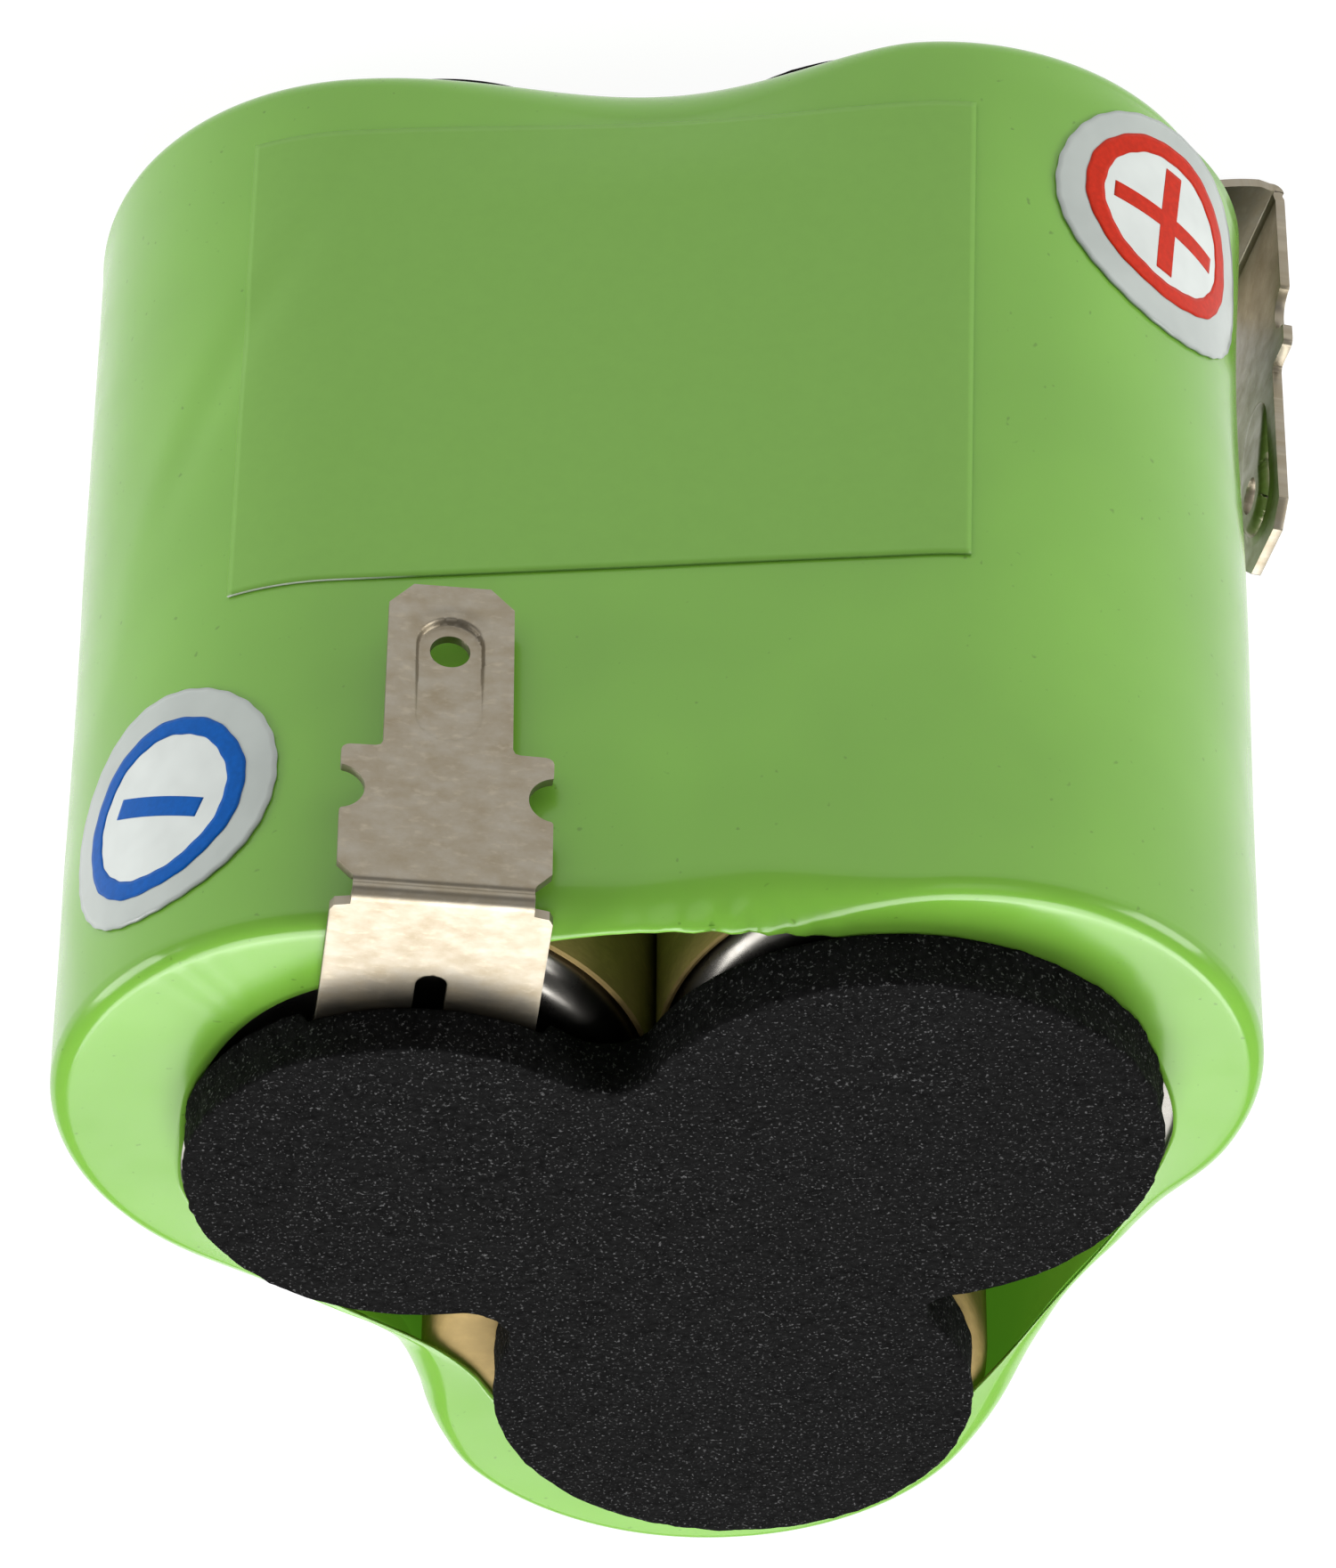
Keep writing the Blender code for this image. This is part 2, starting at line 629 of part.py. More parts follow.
def lead_mesh():
    """The folded ribbon that carries current from the positive collector up to the lid."""
    thickness, half_width = 0.15 * MM, 2.0 * MM
    low, high = 37.3 * MM, 39.85 * MM
    left, right = -4.0 * MM, 4.0 * MM
    upper = [(left, low), (right, low), (right, high), (left, high)]
    lower = [
        (left, high - thickness),
        (right - thickness, high - thickness),
        (right - thickness, low + thickness),
        (left, low + thickness),
    ]
    bm = bmesh.new()
    section = [bm.verts.new((x, -half_width, z)) for x, z in upper + lower]
    raised = bmesh.ops.extrude_face_region(bm, geom=[bm.faces.new(section)])["geom"]
    verts = [item for item in raised if isinstance(item, bmesh.types.BMVert)]
    bmesh.ops.translate(bm, verts=verts, vec=(0, 2 * half_width, 0))
    return mesh_from(bm, "collector_lead")


def cell_meshes():
    """(name, mesh, material) of every piece of one cell, standing on the bottom of its can."""
    wall_low, wall_high = PAPER_SETBACK, CELL_LENGTH - PAPER_SETBACK
    return (
        ("can", turned("can", can_outline(), SHELL_SEGMENTS), "can_steel"),
        (
            "paper_tube",
            disc_with_hole(
                "paper_tube",
                PAPER_RADIUS,
                PAPER_RADIUS - PAPER_WALL,
                wall_low,
                wall_high,
                SHELL_SEGMENTS,
            ),
            "kraft_paper",
        ),
        (
            "negative_collector",
            disc_with_hole("negative_collector", 9.3 * MM, 1.0 * MM, 0.7 * MM, 0.9 * MM),
            "nickel",
        ),
        (
            "negative_electrode",
            rolled_sheet("negative_electrode", 0, 0.5 * MM, NEGATIVE_STEPS, 0),
            "negative_alloy",
        ),
        (
            "separator",
            rolled_sheet("separator", 0.62 * MM, 0.18 * MM, SEPARATOR_STEPS, 0.4 * MM),
            "separator_cloth",
        ),
        (
            "positive_electrode",
            rolled_sheet("positive_electrode", 0.92 * MM, 0.8 * MM, POSITIVE_STEPS, 0),
            "positive_nickel_oxide",
        ),
        (
            "positive_collector",
            disc_with_hole("positive_collector", 9.3 * MM, 1.5 * MM, 36.6 * MM, 36.8 * MM),
            "nickel",
        ),
        ("collector_lead", lead_mesh(), "nickel"),
        (
            "top_insulator",
            disc_with_hole("top_insulator", 9.2 * MM, 7.0 * MM, 37.0 * MM, 37.3 * MM),
            "fibre_white",
        ),
        ("gasket", turned("gasket", gasket_outline(), DISC_SEGMENTS), "seal_nylon"),
        (
            "lid",
            disc_with_hole("lid", 9.5 * MM, VENT_HOLE_RADIUS, 40.1 * MM, 40.6 * MM),
            "can_steel",
        ),
        (
            "vent_plug",
            turned(
                "vent_plug",
                [(0, 40.7 * MM), (2.4 * MM, 40.7 * MM), (2.4 * MM, 41.75 * MM), (0, 41.75 * MM)],
                DISC_SEGMENTS,
            ),
            "vent_rubber",
        ),
        ("positive_cap", turned("positive_cap", cap_outline(), DISC_SEGMENTS), "can_steel"),
        (
            "cap_washer",
            disc_with_hole("cap_washer", 10.3 * MM, 6.9 * MM, 41.9 * MM, 42.15 * MM),
            "fibre_white",
        ),
    )


def make_cells(finishes):
    """Three copies of one cell, each on an empty on its axis; cells 1 and 3 are turned over."""
    pieces = cell_meshes()
    for number, (centre, cap_up) in enumerate(zip(CELL_CENTRES, CAP_UP), start=1):
        axis = bpy.data.objects.new(f"cell_{number}_axis", None)
        bpy.context.scene.collection.objects.link(axis)
        if cap_up:
            axis.location = centre + Vector((0, 0, CELLS_BOTTOM))
        else:
            axis.location = centre + Vector((0, 0, CELLS_TOP))
            axis.rotation_euler = (pi, 0, 0)
        for name, mesh, slot in pieces:
            piece = new_object(f"cell_{number}_{name}", mesh, finishes[slot])
            piece.parent = axis


def main():
    clear_scene()
    finishes = make_materials()
    make_sleeve(finishes["sleeve_green"])
    make_label(finishes["label_green"])
    make_sticker("minus_sticker", finishes["sticker_white"], 33, 38.3 * MM, 5.3 * MM)
    make_sticker("plus_sticker", finishes["sticker_white"], -57, 10.6 * MM, 5.9 * MM)
    make_pads(finishes["foam_black"])
    make_tabs(finishes["nickel"])
    make_links(finishes["nickel"])
    make_cells(finishes)


main()
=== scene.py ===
"""Triangular battery pack of three cells in one shrink sleeve: its finished surfaces and its studio.

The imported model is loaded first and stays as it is. The sleeve, label, stickers, foam pads, tabs and the
outside of each cell are made here as finer surfaces. Everything is in metres, in the frame of the model.
"""

from math import atan2, cos, pi, radians, sin, sqrt

import bmesh
import bpy
import numpy as np
from bpy.props import FloatProperty, FloatVectorProperty, IntProperty, PointerProperty
from mathutils import Matrix, Vector


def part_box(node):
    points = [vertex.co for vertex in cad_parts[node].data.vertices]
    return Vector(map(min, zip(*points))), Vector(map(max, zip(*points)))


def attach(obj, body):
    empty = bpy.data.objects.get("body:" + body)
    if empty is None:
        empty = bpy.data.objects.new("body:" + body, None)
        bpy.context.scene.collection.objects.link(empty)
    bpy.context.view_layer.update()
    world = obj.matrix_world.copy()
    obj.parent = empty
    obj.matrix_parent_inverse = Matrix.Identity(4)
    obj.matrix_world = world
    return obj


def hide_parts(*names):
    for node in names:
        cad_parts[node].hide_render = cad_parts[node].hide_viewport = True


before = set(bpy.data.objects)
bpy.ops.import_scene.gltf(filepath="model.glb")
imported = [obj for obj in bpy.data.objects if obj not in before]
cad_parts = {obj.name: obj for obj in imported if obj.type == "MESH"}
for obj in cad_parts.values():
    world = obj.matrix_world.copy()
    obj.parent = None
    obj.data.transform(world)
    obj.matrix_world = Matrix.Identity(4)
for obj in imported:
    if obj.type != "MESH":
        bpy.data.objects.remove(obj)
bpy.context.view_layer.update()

bl_info = {
    "name": "Triangular Battery Pack",
    "version": (1, 0, 0),
    "blender": (4, 5, 0),
    "location": "3D View > Sidebar > Battery Pack",
    "description": "Finished surfaces and studio for a shrink-wrapped pack of three cells",
    "category": "Object",
}

MM = 0.001
BODY = "pack"
MERGE_DISTANCE = 0.0005 * MM
CELLS = (1, 2, 3)
CAP_UP = (False, True, False)


def middle(node):
    low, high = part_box(node)
    return (low + high) / 2


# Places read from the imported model.
CELL_CENTRES = np.array([middle(f"cell_{n}_can")[:2] for n in CELLS])
CELLS_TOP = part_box("cell_1_can")[1].z
CELLS_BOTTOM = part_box("cell_1_positive_cap")[0].z
PITCH = CELL_CENTRES[0, 0] - CELL_CENTRES[2, 0]
SLEEVE_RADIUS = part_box("shrink_sleeve")[1].x - CELL_CENTRES[0, 0]
LOBE_ARC = SLEEVE_RADIUS * 2 * pi / 3
ROUND_PACK = 3 * (PITCH + LOBE_ARC)


# Settings


def size(name, description, default):
    return FloatProperty(
        name=name, description=description, default=default, unit="LENGTH", subtype="DISTANCE", precision=5)


def turn(name, description, degrees):
    return FloatProperty(name=name, description=description, default=radians(degrees), subtype="ANGLE")


def colour(name, description, default):
    return FloatVectorProperty(
        name=name, description=description, default=default, size=3, min=0.0, max=1.0, subtype="COLOR")


def whole(name, description, default):
    return IntProperty(name=name, description=description, default=default, min=3)


class SleeveSettings(bpy.types.PropertyGroup):
    wall: size("Wall", "Thickness of the shrunk film", 0.2 * MM)
    crest: size("Crest", "How far the lip stands above the cells", 0.4 * MM)
    corner: size("Corner", "Radius of the film's bend over a cell's edge", 0.8 * MM)
    ripple: size("Ripple", "Height of the puckers in the lip", 0.09 * MM)
    around: whole("Around", "Grid steps round the sleeve", 416)
    green: colour("Green", "Colour of the film", (0.185, 0.425, 0.047))


class LabelSettings(bpy.types.PropertyGroup):
    thickness: size("Thickness", "Thickness of the blank label", 0.1 * MM)
    green: colour("Green", "Colour of the blank label", (0.19, 0.41, 0.062))
    sticker_radius: size("Sticker radius", "Mean radius of the two round stickers", 5.6 * MM)
    red: colour("Red", "Ink of the plus sign", (0.50, 0.022, 0.006))
    blue: colour("Blue", "Ink of the minus sign", (0.001, 0.085, 0.36))


class PadSettings(bpy.types.PropertyGroup):
    grain: size("Grain", "Depth of the foam's open grain", 0.045 * MM)
    around: whole("Around", "Grid steps round a pad", 780)
    black: colour("Black", "Colour of the foam", (0.0035, 0.0035, 0.0035))


class TabSettings(bpy.types.PropertyGroup):
    thickness: size("Thickness", "Thickness of the tab's metal", 0.4 * MM)
    pocket: size("Pocket", "Depth of the pressed pocket", 0.28 * MM)
    metal: colour("Metal", "Colour of the tab's metal", (0.31, 0.272, 0.208))


class CellSettings(bpy.types.PropertyGroup):
    around: whole("Around", "Grid steps round a can or a tube", 128)
    steel: colour("Steel", "Colour of the plated can", (0.22, 0.21, 0.19))
    paper: colour("Paper", "Colour of the kraft tube", (0.44, 0.31, 0.115))


class StageSettings(bpy.types.PropertyGroup):
    azimuth: turn("Azimuth", "Camera's angle round the pack", -5.77)
    elevation: turn("Elevation", "Camera's angle above the floor", 38.52)
    roll: turn("Roll", "Camera's turn about its own axis", 180.33)
    distance: size("Distance", "From the camera to its aim", 323.92 * MM)
    aim: FloatVectorProperty(
        name="Aim", description="Point that the camera looks at", default=(0.89 * MM, 6.23 * MM, 20.59 * MM),
        size=3, subtype="XYZ", unit="LENGTH")
    lens: FloatProperty(name="Lens", description="Focal length in millimetres", default=181.6)


# Numbers for surfaces


def smooth_step(value):
    """0 below 0, 1 above 1, and 3t² - 2t³ between."""
    t = np.clip(value, 0, 1)
    return t * t * (3 - 2 * t)


def bell(value, width):
    """exp(-(value / width)²): 1 at zero, close to 0 two widths away."""
    return np.exp(-((value / width) ** 2))


def grain(points, cell, seed):
    """Random heights from -1 to 1 on a cubic lattice of that cell size, eased between its points."""
    table = np.random.default_rng(seed).random((32, 32, 32)) * 2 - 1
    scaled = points / cell
    low = np.floor(scaled).astype(int)
    part = smooth_step(scaled - low)
    total = np.zeros(points.shape[:-1])
    for corner in np.ndindex(2, 2, 2):
        index = (low + corner) % 32
        share = np.where(corner, part, 1 - part).prod(axis=-1)
        total += share * table[index[..., 0], index[..., 1], index[..., 2]]
    return total


def closed_curve(points, period):
    """A smooth closed curve through (place, value) points, as a function of the place.

    Between two points it is a cubic. Its slope at each is that of the parabola through it and its neighbours.
    """
    place, value = np.array(points, float).T
    first = place[0]
    place = np.concatenate((place - period, place, place + period))
    value = np.tile(value, 3)
    slope = np.gradient(value, place)

    def at(where):
        where = np.mod(where - first, period) + first
        index = np.searchsorted(place, where, side="right") - 1
        width = place[index + 1] - place[index]
        t = (where - place[index]) / width
        start = (1 + 2 * t) * (1 - t) ** 2 * value[index] + t * (1 - t) ** 2 * width * slope[index]
        return start + t * t * (3 - 2 * t) * value[index + 1] - t * t * (1 - t) * width * slope[index + 1]

    return at


def unit(vectors):
    return vectors / np.linalg.norm(vectors, axis=-1, keepdims=True)


def surface_normals(points):
    """Cross product of the two grid directions of a grid that closes round its second axis."""
    down = np.gradient(points, axis=0)
    across = np.roll(points, -1, axis=1) - np.roll(points, 1, axis=1)
    return unit(np.cross(across, down))


# Meshes and pieces


def grid_faces(rows, columns, around, first=0):
    """Quads of a grid, with its last column joined to its first where it goes around."""
    index = first + np.arange(rows * columns).reshape(rows, columns)
    if around:
        index = np.column_stack((index, index[:, :1]))
    corners = (index[:-1, :-1], index[:-1, 1:], index[1:, 1:], index[1:, :-1])
    return np.stack(corners, axis=-1).reshape(-1, 4)


def mesh_of(name, grids, outward=True, strip=None):
    """One mesh from several (points, around) grids. Doubles at poles and seams are merged.

    outward says that the mesh is closed, so its normals are worked out again. strip holds a flat place for
    each point, in the order of the grids, and becomes the UV map "strip".
    """
    points, faces, first = [], [], 0
    for grid, around in grids:
        rows, columns = grid.shape[:2]
        points.append(grid.reshape(-1, 3))
        faces.append(grid_faces(rows, columns, around, first))
        first += rows * columns
    mesh = bpy.data.meshes.new(name)
    faces = np.concatenate(faces)
    mesh.from_pydata(np.concatenate(points).tolist(), [], faces.tolist())
    if strip is not None:
        corners = strip[faces.reshape(-1)].astype(np.float32)
        mesh.uv_layers.new(name="strip").data.foreach_set("uv", corners.ravel())
    bm = bmesh.new()
    bm.from_mesh(mesh)
    bmesh.ops.remove_doubles(bm, verts=bm.verts, dist=MERGE_DISTANCE)
    if strip is not None:
        bmesh.ops.dissolve_degenerate(bm, edges=bm.edges, dist=MERGE_DISTANCE)
    if outward:
        bmesh.ops.recalc_face_normals(bm, faces=bm.faces)
    bm.to_mesh(mesh)
    bm.free()
    mesh.shade_smooth()
    return mesh


def add_piece(name, mesh, material, replaced=(), body=BODY):
    mesh.materials.append(material)
    piece = bpy.data.objects.new(name, mesh)
    bpy.context.scene.collection.objects.link(piece)
    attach(piece, body)
    if replaced:
        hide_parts(*replaced)
    return piece


def add_wall(piece, thickness):
    solidify = piece.modifiers.new("wall", "SOLIDIFY")
    solidify.thickness = thickness
    solidify.offset = -1.0
    return solidify


# Materials


class Finish:
    """A node material: a Principled shader fed by patterns in Object coordinates."""

    def __init__(self, name, base, roughness, metallic=0.0, **sockets):
        self.material = bpy.data.materials.new(name)
        self.material.use_nodes = True
        self.nodes = self.material.node_tree.nodes
        self.links = self.material.node_tree.links
        self.shader = self.nodes["Principled BSDF"]
        self.set("Base Color", (*base, 1.0))
        self.set("Roughness", roughness)
        self.set("Metallic", metallic)
        for socket, value in sockets.items():
            self.set(socket.replace("_", " "), value)
        self.place = self.nodes.new("ShaderNodeTexCoord").outputs["Object"]

    def set(self, socket, value):
        self.shader.inputs[socket].default_value = value

    def join(self, output, target):
        self.links.new(output, target)

    def mapped(self, scale, source=None):
        mapping = self.nodes.new("ShaderNodeMapping")
        mapping.inputs["Scale"].default_value = scale
        self.join(source or self.place, mapping.inputs["Vector"])
        return mapping.outputs["Vector"]

    def noise(self, size, detail=3.0, roughness=0.55, vector=None):
        """A noise pattern whose lumps are about that many metres across."""
        node = self.nodes.new("ShaderNodeTexNoise")
        node.inputs["Scale"].default_value = 1 / size
        node.inputs["Detail"].default_value = detail
        node.inputs["Roughness"].default_value = roughness
        self.join(vector or self.place, node.inputs["Vector"])
        return node.outputs["Fac"]

    def cells(self, size):
        node = self.nodes.new("ShaderNodeTexVoronoi")
        node.inputs["Scale"].default_value = 1 / size
        self.join(self.place, node.inputs["Vector"])
        return node.outputs["Distance"]

    def ranged(self, value, low, high, to_low=0.0, to_high=1.0):
        node = self.nodes.new("ShaderNodeMapRange")
        for socket, number in zip(("From Min", "From Max", "To Min", "To Max"), (low, high, to_low, to_high)):
            node.inputs[socket].default_value = number
        self.join(value, node.inputs["Value"])
        return node.outputs["Result"]

    def blended(self, factor, first, second):
        """A colour between two colours. Each is three numbers or another node's output."""
        node = self.nodes.new("ShaderNodeMix")
        node.data_type = "RGBA"
        self.join(factor, node.inputs["Factor"])
        for socket, value in ((node.inputs[6], first), (node.inputs[7], second)):
            if isinstance(value, bpy.types.NodeSocket):
                self.join(value, socket)
            else:
                socket.default_value = (*value[:3], 1.0)
        return node.outputs[2]

    def varied(self, pattern, rgb, dark, light, low=0.3, high=0.7):
        """The colour times a factor that runs from one value to another as the pattern does from low to high."""
        return self.blended(self.ranged(pattern, low, high), scaled(rgb, dark), scaled(rgb, light))

    def colour_from(self, output):
        self.join(output, self.shader.inputs["Base Color"])

    def roughness_from(self, value, low, high, rough_low, rough_high):
        self.join(self.ranged(value, low, high, rough_low, rough_high), self.shader.inputs["Roughness"])

    def bump(self, height, distance, strength=1.0, after=None):
        node = self.nodes.new("ShaderNodeBump")
        node.inputs["Strength"].default_value = strength
        node.inputs["Distance"].default_value = distance
        self.join(height, node.inputs["Height"])
        if after:
            self.join(after, node.inputs["Normal"])
        self.join(node.outputs["Normal"], self.shader.inputs["Normal"])
        return node.outputs["Normal"]


def scaled(rgb, factor):
    return tuple(min(1.0, channel * factor) for channel in rgb[:3])


def film_finish(green):
    """Shrunk PVC film: glossy, a little see-through in depth, with a faint orange peel and a few scuffs."""
    finish = Finish(
        "shrink_film", green, 0.22, Specular_IOR_Level=0.42, Coat_Weight=0.15, Coat_Roughness=0.06,
        Subsurface_Weight=0.12, Subsurface_Scale=0.6 * MM,
    )
    finish.set("Subsurface Radius", (0.5, 1.0, 0.25))
    clouds = finish.noise(9 * MM, detail=2)
    specks = finish.ranged(finish.noise(0.35 * MM, detail=1), 0.74, 0.80)
    tone = finish.varied(clouds, green, 0.94, 1.05)
    finish.colour_from(finish.blended(specks, tone, scaled(green, 0.72)))
    finish.roughness_from(finish.noise(2.5 * MM), 0.3, 0.7, 0.18, 0.27)
    peel = finish.bump(finish.noise(1.1 * MM, detail=2), 0.012 * MM, 0.35)
    finish.bump(finish.noise(0.18 * MM, detail=1), 0.003 * MM, 0.3, after=peel)
    return finish.material


def film_inside_finish(green):
    """The film's inner face, painted a brighter green with an even glow over the whole face that stands in for
    light coming through the film.
    """
    # Painted light: the base at 1.3 times the film's green and the emission below stand in for light that comes
    # through the film.
    finish = Finish("film_inside_painted_glow", scaled(green, 1.3), 0.3, Specular_IOR_Level=0.3)
    finish.set("Emission Color", (green[0] * 0.7, green[1], green[2] * 0.5, 1.0))
    finish.set("Emission Strength", 0.24)
    finish.bump(finish.noise(1.1 * MM, detail=2), 0.012 * MM, 0.35)
    return finish.material


def label_finish(green):
    """Blank printed label: flat satin ink over paper-backed film."""
    finish = Finish("label_film", green, 0.42, Specular_IOR_Level=0.35)
    mottle = finish.noise(0.5 * MM, detail=2)
    finish.colour_from(finish.varied(mottle, green, 0.985, 1.015))
    finish.roughness_from(finish.noise(3 * MM), 0.3, 0.7, 0.38, 0.46)
    finish.bump(finish.noise(0.12 * MM, detail=1), 0.002 * MM, 0.3)
    return finish.material


def edge_finish():
    """The label's cut edge: the white backing shows towards +X, and ink covers the rest."""
    finish = Finish("label_backing", (0.80, 0.82, 0.78), 0.6)
    fibres = finish.noise(0.15 * MM)
    white = finish.blended(fibres, (0.70, 0.74, 0.68), (0.88, 0.90, 0.86))
    split = finish.nodes.new("ShaderNodeSeparateXYZ")
    finish.join(finish.place, split.inputs[0])
    toward_x = finish.ranged(split.outputs["X"], 8 * MM, 11 * MM)
    finish.colour_from(finish.blended(toward_x, (0.14, 0.30, 0.05), white))
    return finish.material


def vinyl_finish(name, white):
    """Glossy sticker vinyl with a faint cloudiness and tiny lifted bubbles."""
    finish = Finish(name, white, 0.22, Specular_IOR_Level=0.4)
    clouds = finish.noise(2.2 * MM, detail=2)
    finish.colour_from(finish.varied(clouds, white, 0.94, 1.05))
    finish.roughness_from(clouds, 0.3, 0.7, 0.16, 0.26)
    finish.bump(finish.noise(0.9 * MM, detail=2), 0.012 * MM, 0.3)
    return finish.material


def ink_finish(name, ink):
    """Screen-printed ink with slightly uneven cover."""
    finish = Finish(name, ink, 0.36, Specular_IOR_Level=0.08)
    cover = finish.noise(0.25 * MM, detail=3)
    finish.colour_from(finish.varied(cover, ink, 1, 1.25, 0.35, 0.75))
    finish.bump(cover, 0.004 * MM, 0.4)
    return finish.material


def foam_finish(black):
    """Closed-cell foam cut with a blade: fine dark pores and scattered painted glints in its colour."""
    finish = Finish("foam", black, 0.86, Specular_IOR_Level=0.05)
    pores = finish.cells(0.34 * MM)
    lumps = finish.noise(0.9 * MM, detail=4, roughness=0.7)
    glints = finish.ranged(finish.noise(0.13 * MM, detail=2), 0.60, 0.74)
    tone = finish.varied(pores, black, 2.2, 0.7, low=0.1)
    tone = finish.blended(finish.ranged(lumps, 0.35, 0.7), tone, scaled(black, 1.8))
    # Painted highlights: the glints are bright specks in the base colour that stand in for sparkle on the foam's
    # cells.
    finish.colour_from(finish.blended(glints, tone, scaled(black, 26)))
    finish.roughness_from(glints, 0, 1, 0.88, 0.45)
    first = finish.bump(pores, 0.09 * MM, 0.8)
    finish.bump(finish.noise(0.14 * MM, detail=3), 0.05 * MM, 0.9, after=first)
    return finish.material


def nickel_finish(metal):
    """Rolled nickel-plated strip: a warm mottled haze with fine rolling streaks along its length."""
    finish = Finish("nickel_strip", metal, 0.42, 1.0)
    strip = finish.nodes.new("ShaderNodeUVMap")
    strip.uv_map = "strip"
    place = strip.outputs["UV"]
    streaks = finish.noise(0.1 * MM, detail=4, vector=finish.mapped((1, 0.05, 1), place))
    haze = finish.noise(1.1 * MM, detail=5, roughness=0.65, vector=finish.mapped((0.7, 1, 1), place))
    blots = finish.noise(0.35 * MM, detail=3, vector=finish.mapped((0.5, 1, 1), place))
    tone = finish.blended(
        finish.ranged(haze, 0.3, 0.7), (metal[0] * 0.9, metal[1] * 0.86, metal[2] * 0.78),
        (metal[0] * 1.08, metal[1] * 1.12, metal[2] * 1.2))
    tone = finish.blended(finish.ranged(blots, 0.55, 0.75), tone, scaled(metal, 1.22))
    finish.colour_from(tone)
    finish.roughness_from(haze, 0.3, 0.7, 0.48, 0.36)
    first = finish.bump(streaks, 0.006 * MM, 0.35)
    finish.bump(blots, 0.006 * MM, 0.5, after=first)
    return finish.material


def steel_finish(steel):
    """Nickel-plated drawn steel: smooth, with grey smudges and fine scuffs."""
    finish = Finish("can_plate", steel, 0.26, 1.0)
    smudges = finish.noise(2.4 * MM, detail=4)
    scuffs = finish.noise(0.2 * MM, detail=3)
    finish.colour_from(finish.varied(smudges, steel, 0.75, 1.08))
    finish.roughness_from(smudges, 0.3, 0.7, 0.34, 0.22)
    finish.bump(scuffs, 0.004 * MM, 0.35)
    return finish.material


def paper_finish(paper):
    """Kraft paper: long fibres round the tube, blotches and a few darker creases."""
    finish = Finish("kraft_paper", paper, 0.72, Specular_IOR_Level=0.3)
    fibres = finish.noise(0.25 * MM, detail=5, vector=finish.mapped((0.5, 0.5, 1.6)))
    blotches = finish.noise(2.0 * MM, detail=4)
    folds = finish.noise(1.6 * MM, detail=6, roughness=0.6, vector=finish.mapped((1, 1, 2.6)))
    creases = finish.ranged(folds, 0.49, 0.505)
    tone = finish.varied(fibres, paper, 0.84, 1.12)
    tone = finish.blended(finish.ranged(blotches, 0.35, 0.7), tone, scaled(paper, 0.8))
    finish.colour_from(tone)
    first = finish.bump(fibres, 0.02 * MM, 0.6)
    finish.bump(creases, 0.01 * MM, 0.15, after=first)
    return finish.material


def plain_finish(name, base, roughness, metallic, size, depth):
    """A moulded, woven or coated inner piece: colour and roughness that vary with one noise, and its bump."""
    finish = Finish(name, base, roughness, metallic)
    pattern = finish.noise(size, detail=4)
    finish.colour_from(finish.varied(pattern, base, 0.82, 1.15))
    finish.roughness_from(pattern, 0.3, 0.7, roughness * 0.85, min(1.0, roughness * 1.12))
    finish.bump(pattern, depth, 0.5)
    return finish.material


# The sleeve's surface

# The near lip: distance round the pack from the middle of its front, and its width there, in mm.
NEAR_LIP = (
    (-10, 3.0), (0, 1.3), (12, 4.0), (23, 5.5), (31, 5.0), (40, 2.0), (46, 1.3), (54, 3.3),
    (64, 4.4), (77, 4.2), (87, 1.5), (96, 0.4), (105, 2.5), (112, 4.2), (119, 4.5), (126, 4.0),
)
FAR_LIP_WIDTH = 3.2 * MM
# How far the film sinks between two cells, on the front and the two other sides.
SINK_NEAR = np.array((0.4, 2.4, 1.5)) * MM
SINK_FAR = np.array((0.7, 1.3, 1.3)) * MM
# Where the sag is deepest: the power that the place along a side is raised to before its sin².
SAG_SKEW = np.array((0.85, 1.2, 1.2))
SINK_REACH = 7.0 * MM
FAR_CREST_RECEDES = 0.5 * MM
SOFT_CORNER = 3.0 * MM
FAR_CORNER = 1.2 * MM
SOFTER = 1.2 * MM
TUBE_CLEARANCE = 0.1 * MM
# Places where the film stands off the cells: distance round, height, how far, and its half widths, in mm.
FILM_SWELLS = (
    (-27.0, 2.0, 0.85, 7.0, 8.0), (-31.0, 22.0, 0.25, 8.0, 10.0), (40.0, 45.0, 0.35, 8.0, 9.0),
    (-42.0, 45.0, 0.35, 6.0, 9.0), (59.5, 45.0, -0.15, 9.0, 9.0),
)


def outline(along):
    """The hull of three circles: (x and y, outward normal, side, place on the flat side from 0 to 1).

    along is the distance from the middle of the front. Each flat side is followed by the arc over a cell.
    """
    distance = np.mod(along + PITCH / 2, ROUND_PACK)
    side = np.minimum((distance // (PITCH + LOBE_ARC)).astype(int), 2)
    distance = distance - side * (PITCH + LOBE_ARC)
    turn = np.maximum(0, distance - PITCH) / SLEEVE_RADIUS
    place = np.minimum(distance, PITCH) / PITCH
    angle = np.radians(-90 + 120 * side) + turn
    normal = np.stack((np.cos(angle), np.sin(angle)), axis=-1)
    before, after = CELL_CENTRES[side - 1], CELL_CENTRES[side]
    centre = before + (after - before) * place[..., None]
    return centre + normal * SLEEVE_RADIUS, normal, side, np.where(turn > 0, 0.0, place)


def sag_share(side, place):
    """0 at both ends of a flat side and 1 where it sags most."""
    return np.sin(pi * place ** SAG_SKEW[side]) ** 2


def sagged(side, place, depth):
    """The share times the depth, but never deeper than the nearer cell's paper tube allows."""
    from_cell = np.minimum(place, 1 - place) * PITCH
    room = SLEEVE_RADIUS - np.sqrt(np.maximum(SLEEVE_RADIUS**2 - from_cell**2, 0)) + TUBE_CLEARANCE
    return np.minimum(sag_share(side, place) * depth, room)


def sink_depth(side, place, height):
    """Inward sag: the sag of each end, fading over SINK_REACH from it as half a cosine."""
    near = 0.5 + 0.5 * np.cos(pi * np.clip((CELLS_TOP - height) / SINK_REACH - 0.1, 0, 1))
    far = 0.5 + 0.5 * np.cos(pi * np.clip((height - CELLS_BOTTOM) / SINK_REACH - 0.1, 0, 1))
    return sagged(side, place, SINK_NEAR[side] * near + SINK_FAR[side] * far)


